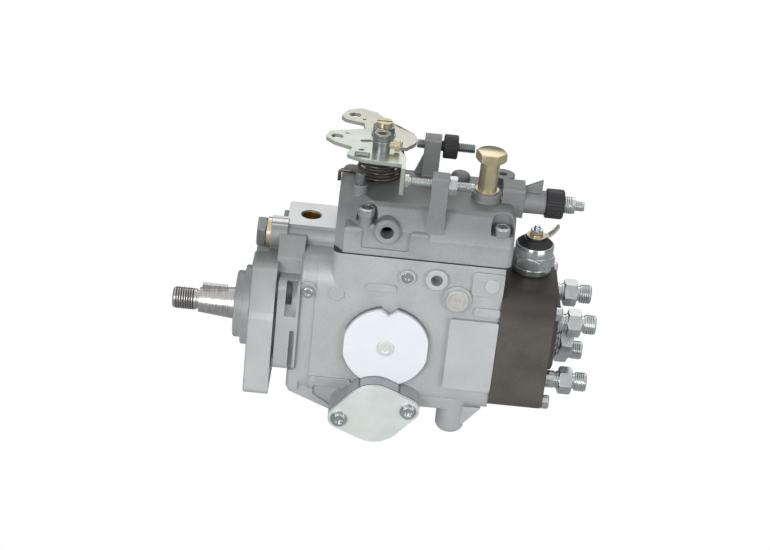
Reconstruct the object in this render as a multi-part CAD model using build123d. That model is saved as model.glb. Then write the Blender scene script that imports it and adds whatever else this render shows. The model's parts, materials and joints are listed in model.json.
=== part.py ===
from build123d import *
import math
import os

# Rotary distributor injection pump, four outlets. Millimetres.
# Origin: centre of the locating spigot on the front face of the mounting flange.
# +X runs along the drive shaft to the distributor head, +Z up to the governor cover, -Y is the near side.

os.makedirs("parts", exist_ok=True)

# ---- driving dimensions -------------------------------------------------------------------------
RUN = 0.05                  # radial running clearance of a shaft in its hole
FREE = 0.5                  # open clearance between pieces that pass each other
seat_gap = 0.3              # clearance of a piece that rests near its stop

# mounting flange and spigot
spigot_r = 25.0
spigot_x0 = -5.5
nose_r = 21.0
nose_x0 = -10.5
flange_back_x = 15.5
flange_half_w = 40.0
flange_bottom_z = -42.0
flange_shoulder_z = 12.0
flange_top_half_w = 30.0
flange_top_z = 44.0
slot_y = 27.0               # half spacing of the flange slots across the pump
slot_low_z = -33.0
slot_high_z = 27.0
slot_w = 9.0
slot_len = 11.0
pocket_r = 8.5              # room for the bolt heads behind the flange

# neck ribs behind the flange
rib_x0 = 17.2
rib_x1 = 26.0
rib_half_w = 38.0
rib_bottom_z = -24.0
rib_gap_top_z = 5.0         # the slit behind the rib ends here
rib_top_z = 37.0
scoop_r = 13.0

# main casting
body_x0 = 29.5              # back of the neck, start of the main body
step_x = 40.0               # the front column of the body ends here
step_in = 1.2               # and stands back this far from the wall
shoulder_z = 50.0           # top of the body in front of the cover
inlet_x0 = 17.7
inlet_y0 = -2.5
inlet_y1 = 30.0
inlet_x = 31.7
inlet_y = 13.7
inlet_r = 6.5
body_x1 = 152.0             # face that the distributor head bolts to
body_half_w = 36.0
body_bottom_z = -42.0
body_corner_r = 14.0
neck_r = 33.0
deck_x0 = 48.0              # front end of the cover joint
seam_z = 60.0               # cover joint plane
chamber_x1 = 143.0
chamber_half_w = body_half_w - 9.0
main_bore_r = 25.2
main_bore_x0 = 24.0

# drive shaft
shaft_r = 10.0
shaft_thread_r = 6.6
shaft_tip_x = -50.0
thread_end_x = -33.5
taper_small_r = 7.8
taper_end_x = -10.9
key_x0 = -31.8
key_len = 15.6
key_w = 3.0
key_top_z = 11.6
shaft_end_x = 72.0
claw_len = 6.0
claw_w = 8.0
claw_outer_r = 14.0

# near side features
plate_x = 85.2
plate_z = 0.9
plate_r = 26.3
plate_clip = 25.6
plate_pad_t = 3.7
plate_t = 0.8
notch_half_w = 8.0
notch_depth = 4.5
rivet_r = 3.0
lock_x = 35.1               # small screws of the near wall
lock_z = 33.7
boss_screw_x = 93.8
boss_screw_z = 49.0
port_x = 111.4
port_z = 49.5
port_r = 3.6
big_pad_x0 = 122.4
pillar_x = 130.5
pillar_y = -26.0
pillar_z = -59.5
pillar_r = 9.0

# vane pump
vane_ring_x1 = 38.0
vane_bore_r = 19.0
vane_offset = 1.5
rotor_r = 17.2
vane_t = 2.4
pump_plate_t = 4.0

# governor gear train
gear_module = 1.5
drive_teeth = 40
carrier_teeth = 29
gear_x0 = 53.0
gear_w = 7.0
gov_z = gear_module * (drive_teeth + carrier_teeth) / 2
gov_shaft_r = 5.0
boss_face_x = 8.5
boss_r = 9.5
gov_shaft_x1 = 116.5
gov_nut_af = 17.0
gov_nut_t = 6.0
washer_t = 2.5
cage_x1 = 94.0
cage_r = 22.0
sleeve_r = 7.0
sleeve_x1 = 117.0
weight_pivot_x = gear_x0 + gear_w + 9.5
sleeve_x0 = weight_pivot_x + 2.3
weight_pivot_r = 15.0
weight_len = 21.0
weight_w = 11.0
weight_t = 5.0

# roller ring, cam plate, plunger
ring_x0 = 76.0
ring_x1 = 86.0
ring_bore_r = 17.0
roller_r = 4.5
roller_axis_x = 85.0
cam_lift = 2.2
cam_x1 = 98.0
cam_r = 23.0
hub_r = 12.0
plunger_r = 6.0
plunger_x1 = 176.0
barrel_x0 = 138.0
barrel_x1 = 180.0
barrel_r = 13.0
spool_x0 = 119.0
spool_len = 12.0
spool_r = 11.0
lever_x = 125.0
lever_pivot_z = 37.3

# timing device, across the pump
timing_x = 82.0
timing_z = -39.0
timing_bore_r = 12.05
timing_boss_r = 19.5
timing_face_y = 49.7
timing_gasket_t = 0.8
timing_cover_t = 3.0
timing_tilt = 13.3
timing_screw_r = 21.4       # screw distance from the timing axis
timing_piston_half = 20.0

# seals and bush of the drive shaft
seal_r = 16.0
seal_x0 = -9.0
seal_x1 = -2.0
bush_r = 12.0
bush_x1 = 20.0
strainer_z0 = 44.0

# governor cover
gasket_t = 1.0
cover_screw_x0 = 65.4
cover_screw_x1 = 147.0
screw_inset = 5.5           # cover screws stand this far inside the side wall
screw_hole_r = 2.8
far_screw_in = 0.3
cover_recess = 2.2
pad_edge_x0 = cover_screw_x0 - 1.5
dome_x = 121.0
dome_y = 20.0
bracket_x = 147.0
bracket_y = 24.0
bracket_hole_r = 2.6
pocket_z = 79.5             # seats of the screws at the head end
near_seat_z = 84.0          # seat of the near screw at the front, on its own stub
far_seat_z = 78.0
band_top_z = 74.0
cover_pad_z = 78.0
deck_near_y = -23.5
deck_far_y = 27.0
deck_z = 91.0
cover_x1 = 155.0
throttle_x = 71.0
throttle_y = 14.0
throttle_r = 5.0
throttle_boss_r = 9.0
throttle_boss_z = deck_z + 18
idle_y = 7.0 - body_half_w
idle_z = deck_z + 17
near_lug_x0 = 102.0
pad_edge_x1 = near_lug_x0 - 9
far_lug_x0 = 97.0
lug_t = 10.0
max_y = body_half_w - 11
max_z = deck_z + 19
screw_r = 2.5
full_z = deck_z - 1
full_x0 = 173.0             # end of the tube that holds the full load screw
full_r = 5.0
cover_port_x = 78.7
cover_port_z = 77.0
cover_port_r = 4.1
anchor_x = 60.0
anchor_y = -11.0
overflow_x = 136.5
overflow_y = -4.0
overflow_boss_z = deck_z + 5
overflow_top_z = deck_z + 25

# levers
lever_t = 2.4
lever_z = deck_z + 24.6      # underside of the control lever
spring_r = 13.0
spring_wire_r = 1.1
spring_z0 = deck_z + spring_wire_r
spring_pitch = 4.1
spring_turns = 4.5
tab_x = 85.5                # face of the idle tab that meets the idle screw
max_tab_r = 21.0

# distributor head
head_x1 = 185.5
head_half_w = 38.0
head_bottom_z = -37.0
head_top_z = 44.0
head_corner_r = 11.0
head_step_x = head_x1 + 4    # raised middle of the rear face
head_step_half_w = 26.0
outlet_r = 20.4             # offset of each outlet from the shaft axis, across and up
outlet_bore_r = 5.5
head_screw_pos = 31.0
outlet_hex_x0 = head_x1 + 9.5
outlet_hex_x1 = head_x1 + 17.8
outlet_neck_x1 = head_x1 + 20
outlet_x1 = head_x1 + 27
outlet_thread_r = 6.0
plug_af = 24.0
plug_shank_r = 9.0
plug_hex_x0 = head_x1 + 8.5
plug_hex_x1 = head_x1 + 16.8
solenoid_x = 170.5
solenoid_r = 11.6
solenoid_top_z = head_top_z + 19


# ---- helpers ------------------------------------------------------------------------------------
def rod_x(r, x0, x1, y=0.0, z=0.0):
    return extrude(Plane(origin=(x0, y, z), z_dir=(1, 0, 0)) * Circle(r), x1 - x0)


def rod_y(r, y0, y1, x=0.0, z=0.0):
    return extrude(Plane(origin=(x, y0, z), z_dir=(0, 1, 0)) * Circle(r), y1 - y0)


def rod_z(r, z0, z1, x=0.0, y=0.0):
    return extrude(Plane(origin=(x, y, z0), z_dir=(0, 0, 1)) * Circle(r), z1 - z0)


def hex_x(af, x0, x1, y=0.0, z=0.0):
    face = RegularPolygon(af / 2, 6, major_radius=False)
    return extrude(Plane(origin=(x0, y, z), x_dir=(0, 1, 0), z_dir=(1, 0, 0)) * face, x1 - x0)


def hex_z(af, z0, z1, x=0.0, y=0.0, turn=0.0):
    face = Rot(0, 0, turn) * RegularPolygon(af / 2, 6, major_radius=False)
    return extrude(Plane(origin=(x, y, z0), z_dir=(0, 0, 1)) * face, z1 - z0)


def hex_y(af, y0, y1, x=0.0, z=0.0):
    face = RegularPolygon(af / 2, 6, major_radius=False)
    return extrude(Plane(origin=(x, y0, z), z_dir=(0, 1, 0)) * face, y1 - y0)


def block(x0, x1, y0, y1, z0, z1):
    return Pos((x0 + x1) / 2, (y0 + y1) / 2, (z0 + z1) / 2) * Box(x1 - x0, y1 - y0, z1 - z0)


def prism_x(points, x0, x1):
    return extrude(Plane.YZ.offset(x0) * make_face(Polyline(*points, close=True)), x1 - x0)


def prism_y(points, y0, y1):
    return extrude(Plane.XZ.offset(-y1) * make_face(Polyline(*points, close=True)), y1 - y0)


def prism_z(points, z0, z1):
    return extrude(Plane.XY.offset(z0) * make_face(Polyline(*points, close=True)), z1 - z0)


def turned_x(points):
    """A solid of revolution about the shaft axis from (x, radius) points."""
    profile = make_face(Polyline(*points, close=True))
    return revolve(Plane.XY * profile, Axis.X)


def save(name, shape):
    shape.label = name
    export_step(shape, f"parts/{name}.step")


def polar(radius, degrees, centre=(0.0, 0.0)):
    a = math.radians(degrees)
    return centre[0] + radius * math.cos(a), centre[1] + radius * math.sin(a)


def group(solids):
    return Compound(children=list(solids))


# ---- housing ------------------------------------------------------------------------------------
def flange():
    outline = [
        (-flange_half_w, flange_bottom_z), (-flange_half_w, flange_shoulder_z),
        (-flange_top_half_w, flange_top_z), (flange_top_half_w, flange_top_z),
        (flange_half_w, flange_shoulder_z), (flange_half_w, flange_bottom_z),
    ]
    plate = prism_x(outline, 0, flange_back_x)
    plate = fillet(plate.edges().filter_by(Axis.X), 5.0)
    plate = chamfer(plate.edges().group_by(Axis.X)[0], 0.8)
    return plate - rod_x(gov_nut_af / 2 + 6, -1, boss_face_x, 0, gov_z)


def neck():
    """Round neck with a rib and a bolt scoop on each side, and the boss of the governor shaft."""
    core = rod_x(neck_r, flange_back_x - 1, body_x0 + 1)
    side = block(rib_x0, body_x0 + 1, -rib_half_w, rib_half_w, rib_bottom_z, rib_top_z)
    side = fillet(side.edges().filter_by(Axis.X), 6.0)
    for sign in (-1, 1):
        y0, y1 = sorted((sign * (neck_r - 1), sign * (rib_half_w + 1)))
        side -= block(rib_x1, body_x0 - 0.5, y0, y1, rib_bottom_z - 1, rib_gap_top_z)
        side -= rod_x(scoop_r, rib_x1 - 4, body_x0 - 0.5, sign * (rib_half_w + 3), slot_high_z)
    wall_top = gov_z + boss_r * 0.4
    outline = [
        (-neck_r * 0.8, slot_high_z - 7), (-neck_r * 0.65, slot_high_z + 19), (-boss_r, wall_top),
        (inlet_y1 - 4, wall_top), (inlet_y1 + 2, slot_high_z + 20), (inlet_y1, slot_high_z - 7),
    ]
    front = prism_x(outline, flange_back_x - 1, body_x0 + 1)
    boss = rod_x(boss_r, boss_face_x, inlet_x0 + 1, 0, gov_z)
    top = block(boss_face_x, inlet_x0 + 1, -boss_r * 0.6, boss_r * 0.8, gov_z, seam_z)
    tube = rod_x(boss_r - 2, inlet_x0, deck_x0 + 1, 0, gov_z - 0.5)
    foot_w = body_half_w - step_in
    foot = block(rib_x1, body_x0 + 4, -foot_w, foot_w, body_bottom_z + 4, rib_bottom_z)
    foot = fillet(foot.edges().group_by(Axis.X)[0], 3.0)
    return core + side + front + boss + top + tube + foot


def inlet_block():
    """Raised pad of the fuel inlet, machined flat on top."""
    top = block(inlet_x0, deck_x0 + 1, inlet_y0, inlet_y1, gov_z - 6, seam_z)
    top = fillet(top.edges().filter_by(Axis.Z), 2.0)
    foot = block(inlet_x0, deck_x0 + 1, inlet_y0 + 4, inlet_y1 - 1, shoulder_z - 12, gov_z)
    return top + foot


def main_body():
    """Body from the neck to the distributor head, with the underside webs of the timing boss."""
    height = shoulder_z - body_bottom_z
    middle = (shoulder_z + body_bottom_z) / 2
    front_w = 2 * (body_half_w - step_in)
    face = Pos(0, middle) * RectangleRounded(front_w, height, body_corner_r)
    front = extrude(Plane.YZ.offset(body_x0) * face, step_x - body_x0 + 2)
    front = fillet(front.edges().group_by(Axis.X)[0], 3.0)
    face = Pos(0, middle) * RectangleRounded(2 * body_half_w, height, body_corner_r)
    rear_low = extrude(Plane.YZ.offset(step_x) * face, deck_x0 - step_x + 6)
    section = [
        (-body_half_w, body_bottom_z), (-body_half_w, seam_z),
        (body_half_w, seam_z), (body_half_w, body_bottom_z),
    ]
    rear = prism_x(section, deck_x0, body_x1)
    rear = fillet(rear.edges().filter_by(Axis.X).group_by(Axis.Z)[0], body_corner_r)
    rear = fillet(rear.edges().filter_by(Axis.Z).group_by(Axis.X)[0], 5.0)
    web_w = body_half_w - 3.5
    floor_z = timing_z - timing_boss_r + 5
    web = prism_y([
        (body_x0 - 2, body_bottom_z + 8), (body_x0 - 2, body_bottom_z + 2), (timing_x - 21, floor_z),
        (timing_x, floor_z), (timing_x, body_bottom_z + 8)], -web_w, web_w)
    web = fillet(web.edges().filter_by(Axis.Y).group_by(Axis.X)[0], 2.0)
    shape = front + rear_low + rear + web
    # sunk triangles between the ribs over the web, one on each side
    sunk = [(step_x + 3, body_bottom_z + 9), (timing_x - 20, body_bottom_z + 8), (timing_x - 18, floor_z + 4),
            (timing_x - 24, floor_z + 3.5), (step_x + 3, body_bottom_z + 1)]
    for side in (-1, 1):
        y0, y1 = sorted((side * (web_w - 2), side * (body_half_w + 1)))
        pocket = prism_y(sunk, y0, y1)
        shape -= fillet(pocket.edges().filter_by(Axis.Y), 1.2)
    return shape


def timing_section(grow):
    """Diamond section of the timing boss, in the XZ plane."""
    disc = Circle(timing_boss_r + grow)
    ears = [Pos(side * timing_screw_r, 0) * Circle(7.0 + grow) for side in (-1, 1)]
    return Plane.XZ * Pos(timing_x, timing_z) * Rot(0, 0, timing_tilt) * make_hull(
        disc.edges() + ears[0].edges() + ears[1].edges())


def timing_slab(y0, y1, grow=0.0):
    return extrude(Pos(0, y1, 0) * timing_section(grow), y1 - y0)


def side_pad(r, proud, x, z, edge=0.0):
    """A round pad on the near wall, standing proud by the given height."""
    pad = rod_y(r, -body_half_w - proud, -body_half_w + 4, x, z)
    return chamfer(pad.edges().group_by(Axis.Y)[0], edge) if edge else pad


def side_block(x0, x1, z0, z1, proud, corner):
    pad = block(x0, x1, -body_half_w - proud, -body_half_w + 6, z0, z1)
    return fillet(pad.edges().filter_by(Axis.Y), corner)


def plate_face(r, notch_w):
    """Round outline of the type plate and its pad, with a notch in the top."""
    face = Circle(r) & Rectangle(2 * plate_clip, 3 * r)
    face -= make_face(Polyline((-notch_w, r + 1), (0, r - notch_depth), (notch_w, r + 1), close=True))
    return Pos(plate_x, plate_z) * face


def side_details():
    """Pads, bosses, ribs and the lower pillar of the near side wall."""
    pad_face = Plane.XZ.offset(body_half_w - 1) * plate_face(plate_r + 0.8, notch_half_w - 1)
    pads = [extrude(pad_face, plate_pad_t + 1)]
    pads.append(side_block(big_pad_x0, body_x1, -24.0, 24.5, 3.0, 1.5))
    pads.append(side_pad(5.0, 0, lock_x, lock_z))
    pads.append(side_pad(4.6, 0.8, 52.4, 33.0))
    pads.append(side_pad(5.2, 2.5, boss_screw_x, boss_screw_z, 0.5))
    pads.append(side_pad(7.0, 3.0, port_x, port_z, 0.6))
    pads.append(side_pad(9.0, 2.0, lever_x, lever_pivot_z, 0.5))
    pads.append(side_block(133.0, body_x1, 41.5, 57.0, 2.0, 2.0))
    pads.append(side_pad(4.7, 3.0, 144.9, 49.0, 0.4))
    pads.append(side_block(136.0, body_x1, 27.5, 33.0, 1.6, 1.5))
    pads.append(side_block(70.0, 88.0, 37.5, 42.5, 1.5, 2.0))
    pads.append(side_block(step_x + 1, timing_x - 16, -29.5, -25.5, 1.6, 1.5))
    pads.append(side_block(timing_x + 18, pillar_x, -41.0, -34.0, -1.0, 1.5))
    pillar = rod_z(pillar_r, pillar_z, body_bottom_z + 22, pillar_x, pillar_y)
    pads.append(fillet(pillar.edges().group_by(Axis.Z)[0], 5.0))
    web = prism_y([
        (pillar_x, body_bottom_z + 2), (pillar_x + 18, body_bottom_z + 2), (pillar_x + 7, pillar_z + 6),
        (pillar_x, pillar_z + 6)], pillar_y - 6, pillar_y + 6)
    pads.append(web)
    return pads


def housing():
    shape = flange() + neck() + inlet_block() + main_body()
    shape += chamfer(rod_x(nose_r, nose_x0, spigot_x0 + 1).edges().group_by(Axis.X)[0], 0.8)
    shape += chamfer(rod_x(spigot_r, spigot_x0, 1).edges().group_by(Axis.X)[0], 0.5)
    shape += timing_slab(-timing_face_y, timing_face_y)
    for piece in side_details():
        shape += piece
    # bolt pockets and slots of the flange
    for side in (-1, 1):
        for z in (slot_low_z, slot_high_z):
            shape -= rod_x(pocket_r, flange_back_x, body_x0 - 4.0, side * slot_y, z)
            slot = Plane.YZ.offset(-1) * Pos(side * slot_y, z) * SlotOverall(slot_len, slot_w)
            shape -= extrude(slot, flange_back_x + 1.5)
    # shaft bores
    shape -= rod_x(seal_r, nose_x0 - 1, seal_x1)
    shape -= rod_x(bush_r, seal_x1 - 1, bush_x1)
    shape -= rod_x(shaft_r + 1, bush_x1 - 1, main_bore_x0 + 1)
    shape -= rod_x(main_bore_r, main_bore_x0, body_x1 + 1)
    shape -= rod_x(32.5, gear_x0 - 1, gear_x0 + gear_w + 3)
    # governor chamber and governor shaft bore
    chamber = block(gear_x0 - 1, chamber_x1, -chamber_half_w, chamber_half_w, 12.0, seam_z + 1)
    shape -= fillet(chamber.edges().filter_by(Axis.Z), 4.0)
    shape -= rod_x(gov_shaft_r, 0, gear_x0, 0, gov_z)
    # timing bore and the slot for the advance pin
    shape -= rod_y(timing_bore_r, -timing_face_y - 1, timing_face_y + 1, timing_x, timing_z)
    shape -= block(timing_x - 4.5, timing_x + 4.5, -14.0, 14.0, timing_z, -18.0)
    # inlet bore with the strainer seat
    shape -= rod_z(inlet_r, strainer_z0, seam_z + 1, inlet_x, inlet_y)
    shape -= rod_z(inlet_r - 2.5, strainer_z0 - 14, strainer_z0 + 1, inlet_x, inlet_y)
    # lever pivot bores, plug bores and cover screw holes
    shape -= rod_y(6.0, -body_half_w - 3, 1 - chamber_half_w, lever_x, lever_pivot_z)
    shape -= rod_y(6.0, chamber_half_w - 1, body_half_w + 3, lever_x, lever_pivot_z)
    shape -= rod_y(port_r, -body_half_w - 4, -body_half_w + 6, port_x, port_z)
    shape -= rod_y(rivet_r, -body_half_w - 5, -body_half_w + 1.5, plate_x, plate_z)
    shape -= rod_y(3.6, -body_half_w - 4, -body_half_w - 0.5, boss_screw_x, boss_screw_z)
    for x, y in cover_screw_points():
        shape -= rod_z(2.6, 44.0, seam_z + 1, x, y)
    for side in (-1, 1):
        for sx, sz in timing_screw_points():
            y0, y1 = sorted((side * (timing_face_y - 12), side * (timing_face_y + 1)))
            shape -= rod_y(2.1, y0, y1, sx, sz)
    for y, z in head_screw_points():
        shape -= rod_x(2.6, body_x1 - 16, body_x1 + 1, y, z)
    return shape


def cover_screw_points():
    y = body_half_w - screw_inset
    near = [(cover_screw_x0, -y), (cover_screw_x1, 1 - y)]
    return near + [(cover_screw_x0, y - far_screw_in), (cover_screw_x1, y - far_screw_in)]


def timing_screw_points():
    return [polar(timing_screw_r, timing_tilt + half, (timing_x, timing_z)) for half in (0, 180)]


def head_screw_points():
    return [(sy * head_screw_pos, sz * head_screw_pos) for sy in (-1, 1) for sz in (-1, 1)]


# ---- governor cover -----------------------------------------------------------------------------
def cut_above(point, normal):
    """Half space on the outer side of a plane, for bevels that no edge gives."""
    return Plane(origin=point, z_dir=normal) * Pos(0, 0, 20) * Box(110, 110, 40)


def cover_shell():
    """Outer shape of the cover: upright lower band, sloping walls, a flat deck and a bevelled corner."""
    base = seam_z + gasket_t
    half = body_half_w
    section = make_face(Polyline(
        (-half, base), (-half, band_top_z), (deck_near_y - 3, deck_z - 2), (deck_near_y, deck_z),
        (deck_far_y, deck_z), (deck_far_y + 4, deck_z - 4), (half, band_top_z), (half, base), close=True))
    section = fillet(section.vertices().sort_by(Axis.Y)[2:], 2.0)
    shell = extrude(Plane.YZ.offset(deck_x0) * section, cover_x1 - deck_x0)
    shell = fillet(shell.edges().filter_by(Axis.Z), 5.0)
    corner_y = 9.0 - half
    shell -= cut_above((deck_x0, corner_y, base), (-0.737, -0.532, 0.414))
    shell -= cut_above((deck_x0, corner_y + 20, deck_z - 4.5), (-0.45, -0.33, 0.83))
    for x0, x1 in ((deck_x0 + 5.5, pad_edge_x0), (pad_edge_x1, near_lug_x0 + 2)):
        pad = block(x0, x1, -half, -half + 12, base, cover_pad_z)
        shell += fillet(pad.edges().group_by(Axis.Z)[-1], 2.5)
    return shell


def screw_seat(x, y):
    if x > throttle_x:
        return pocket_z
    return near_seat_z if y < 0 else far_seat_z


def governor_cover():
    base = seam_z + gasket_t
    shape = cover_shell()
    # recess between the two pads, and the boss of the port that stands in it
    recess = block(pad_edge_x0, pad_edge_x1, -body_half_w - 1, cover_recess - body_half_w, base + 4,
                   near_seat_z)
    shape -= fillet(recess.edges().filter_by(Axis.Y), 2.0)
    port = rod_y(8.0, -body_half_w - 1.5, -20.0, cover_port_x, cover_port_z)
    shape += chamfer(port.edges().group_by(Axis.Y)[0], 1.2)
    # idle and maximum speed lugs with gussets
    near = block(near_lug_x0, near_lug_x0 + lug_t, idle_y - 5, idle_y + 5, band_top_z, idle_z + 6.5)
    shape += fillet(near.edges().filter_by(Axis.X).group_by(Axis.Z)[-1], 2.0)
    far = block(far_lug_x0, far_lug_x0 + lug_t, max_y - 5, max_y + 5, band_top_z, max_z + 6.5)
    shape += fillet(far.edges().filter_by(Axis.X).group_by(Axis.Z)[-1], 3.0)
    gusset = [(far_lug_x0 - 5, deck_z - 1), (far_lug_x0 + 1, max_z - 4), (far_lug_x0 + 1, deck_z - 1)]
    shape += prism_y(gusset, max_y - 1.5, max_y + 1.5)
    # bosses on the deck
    shape += rod_z(throttle_boss_r, deck_z - 4, throttle_boss_z, throttle_x, throttle_y)
    dome = rod_z(6.0, deck_z - 4, deck_z + 5, dome_x, dome_y)
    shape += fillet(dome.edges().group_by(Axis.Z)[-1], 3.0)
    shape += rod_z(9.0, deck_z - 8, overflow_boss_z, overflow_x, overflow_y)
    shape += rod_z(4.4, deck_z - 3.5, deck_z + 4.5, anchor_x, anchor_y)
    shape += rod_z(7.5, deck_z - 10, deck_z + 5, bracket_x, bracket_y)
    rear = block(146.0, cover_x1 + 4.5, -8.0, 8.0, deck_z - 9, deck_z + 10)
    shape += fillet(rear.edges().filter_by(Axis.X).group_by(Axis.Z)[-1], 3.0)
    shape += rod_x(full_r + 2.3, cover_x1 - 4, full_x0, 0, full_z)
    root_x, tip_x = cover_x1 + 1, full_x0 - 3
    gusset = [(root_x, full_z + 4), (root_x, full_z + 7.5), (tip_x, full_z + 14.5), (tip_x, full_z + 4)]
    shape += prism_y(gusset, -1.6, 1.6)
    # pockets of the cover screws, and the stub that carries the near one at the front
    for x, y in cover_screw_points():
        shape -= rod_z(7.0, min(screw_seat(x, y), pocket_z), deck_z + 1, x, y)
    shape += rod_z(4.1, base + 4, near_seat_z, cover_screw_x0, cover_screw_points()[0][1])
    # cavity over the governor
    x0, x1, half = deck_x0 + 4, cover_x1 - 6, chamber_half_w - 1
    floor = [(x0, half), (x0, 12 - half), (x0 + 8, -half), (x1, -half), (x1, half)]
    shape -= prism_z(floor, base - 1, base + 15)
    roof = [(x0, half - 1), (x0, -5.0), (x0 + 11.5, 6 - half), (x1, 6 - half), (x1, half - 1)]
    shape -= prism_z(roof, base + 14, deck_z - 4)
    gear_tip_r = gear_module * (carrier_teeth / 2 + 1)
    shape -= rod_x(gear_tip_r + 1, gear_x0 - 1, gear_x0 + gear_w + 1, 0, gov_z)
    # bores
    shape -= rod_z(throttle_r + RUN, deck_z - 10, throttle_boss_z + 1, throttle_x, throttle_y)
    shape -= rod_x(screw_r, near_lug_x0 - 1, near_lug_x0 + lug_t + 1, idle_y, idle_z)
    shape -= rod_x(screw_r, far_lug_x0 - 1, far_lug_x0 + lug_t + 1, max_y, max_z)
    shape -= rod_x(full_r, cover_x1 - 14, full_x0 + 1, 0, full_z)
    shape -= rod_z(4.0, deck_z - 10, overflow_boss_z + 1, overflow_x, overflow_y)
    shape -= rod_y(cover_port_r, -body_half_w - 3, -24.0, cover_port_x, cover_port_z)
    shape -= rod_z(2.8, deck_z - 4.5, deck_z + 6, anchor_x, anchor_y)
    shape -= rod_z(bracket_hole_r, deck_z - 3, deck_z + 6, bracket_x, bracket_y)
    for x, y in cover_screw_points():
        shape -= rod_z(screw_hole_r, base - 1, deck_z, x, y)
    return shape


# ---- drive line ---------------------------------------------------------------------------------
def drive_shaft():
    body = turned_x([
        (shaft_tip_x, 0), (shaft_tip_x, shaft_thread_r - 1), (shaft_tip_x + 1, shaft_thread_r),
        (thread_end_x - 1.5, shaft_thread_r), (thread_end_x - 1.5, shaft_thread_r - 0.8),
        (thread_end_x, shaft_thread_r - 0.8), (thread_end_x, taper_small_r), (taper_end_x, shaft_r),
        (shaft_end_x - claw_len, shaft_r), (shaft_end_x - claw_len, 0),
    ])
    claws = rod_x(claw_outer_r, shaft_end_x - claw_len - 4, shaft_end_x)
    reach = claw_outer_r + 1
    slot = block(shaft_end_x - claw_len, shaft_end_x + 1, -reach, reach, -claw_w / 2, claw_w / 2)
    body += claws - slot
    body -= block(key_x0, key_x0 + key_len, -key_w / 2, key_w / 2, 4.0, 14.0)
    return body


def shaft_key():
    return block(key_x0, key_x0 + key_len, -key_w / 2, key_w / 2, 4.0, key_top_z)


def gear_face(teeth):
    """Spur gear outline with straight flanks, one tooth centred on +Y of its own plane."""
    pitch_r = gear_module * teeth / 2
    outer_r = pitch_r + 0.95 * gear_module
    root_r = pitch_r - 1.2 * gear_module
    step = 360.0 / teeth
    root_half = 0.34 * step
    tip_half = 0.13 * step
    points = []
    for i in range(teeth):
        middle = 90 + i * step
        points += [polar(root_r, middle - root_half), polar(outer_r, middle - tip_half),
                   polar(outer_r, middle + tip_half), polar(root_r, middle + root_half)]
    return make_face(Polyline(*points, close=True))


def drive_gear():
    face = Plane.YZ.offset(gear_x0) * gear_face(drive_teeth)
    return extrude(face, gear_w) - rod_x(shaft_r, gear_x0 - 1, gear_x0 + gear_w + 1)


def pump_ring():
    return rod_x(main_bore_r, main_bore_x0, vane_ring_x1) - rod_x(
        vane_bore_r, main_bore_x0 - 1, vane_ring_x1 + 1, 0, vane_offset)


def pump_rotor():
    body = rod_x(rotor_r, main_bore_x0 + 0.3, vane_ring_x1 - 0.3) - rod_x(shaft_r, 0, 60)
    for i in range(4):
        slot = block(0, 60, -vane_t / 2 - 0.02, vane_t / 2 + 0.02, 12.0, rotor_r + 1)
        body -= Rot(i * 90 + 45, 0, 0) * slot
    vanes = [body]
    for i in range(4):
        vane = block(main_bore_x0 + 0.3, vane_ring_x1 - 0.3, -vane_t / 2, vane_t / 2, 12.2, rotor_r - 0.1)
        vanes.append(Rot(i * 90 + 45, 0, 0) * vane)
    return group(vanes)


def pump_plate():
    return rod_x(main_bore_r, vane_ring_x1, vane_ring_x1 + pump_plate_t) - rod_x(
        shaft_r + 1, vane_ring_x1 - 1, vane_ring_x1 + pump_plate_t + 1)


def cam_plate():
    """Face cam with four lobes on its front, and the claws that the drive shaft turns."""
    lobe_x = roller_axis_x + roller_r + seat_gap
    base_x = lobe_x + cam_lift
    shape = rod_x(cam_r, base_x, cam_x1) + rod_x(hub_r, shaft_end_x + 2, base_x + 1)
    ramp = prism_z([(base_x + 1, -9.0), (lobe_x, -2.5), (lobe_x, 2.5), (base_x + 1, 9.0)], 14.0, 22.0)
    for i in range(4):
        shape += Rot(45 + 90 * i, 0, 0) * ramp
    tongue = block(shaft_end_x - claw_len + FREE, shaft_end_x + 3, -claw_outer_r + 1, claw_outer_r - 1,
                   -claw_w / 2 + 0.1, claw_w / 2 - 0.1)
    shape += tongue & rod_x(hub_r, 0, 100)
    foot = rod_x(10.0, cam_x1 - 1, cam_x1 + 5)
    return shape + foot - rod_x(plunger_r, cam_x1 - 2, cam_x1 + 6)


def distributor_plunger():
    return rod_x(plunger_r, cam_x1 - 2, plunger_x1)


# ---- governor -----------------------------------------------------------------------------------
def governor_shaft():
    return rod_x(gov_shaft_r, 0.4, gov_shaft_x1, 0, gov_z)


def governor_lock_nut():
    nut = hex_x(gov_nut_af, 0, gov_nut_t, 0, gov_z)
    return nut - rod_x(gov_shaft_r, -1, gov_nut_t + 1, 0, gov_z)


def flyweight_carrier():
    # a tooth of the drive gear stands on the centre line and this odd gear shows a gap there
    gear = extrude(Plane.YZ.offset(gear_x0) * Pos(0, gov_z) * gear_face(carrier_teeth), gear_w)
    plate = rod_x(cage_r, gear_x0 + gear_w, gear_x0 + gear_w + 3, 0, gov_z)
    shape = gear + plate
    rim = rod_x(cage_r, gear_x0 + gear_w + 2, cage_x1, 0, gov_z) - rod_x(
        cage_r - 2.0, gear_x0 + gear_w + 1, cage_x1 + 1, 0, gov_z)
    shape += rim
    for i in range(4):
        window = block(gear_x0 + gear_w + 4, cage_x1 + 1, -weight_w / 2 - 0.6, weight_w / 2 + 0.6, 8.0, 30.0)
        shape -= Pos(0, 0, gov_z) * (Rot(90 * i + 45, 0, 0) * window)
    return shape - rod_x(gov_shaft_r + RUN, 0, 100, 0, gov_z)





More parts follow.
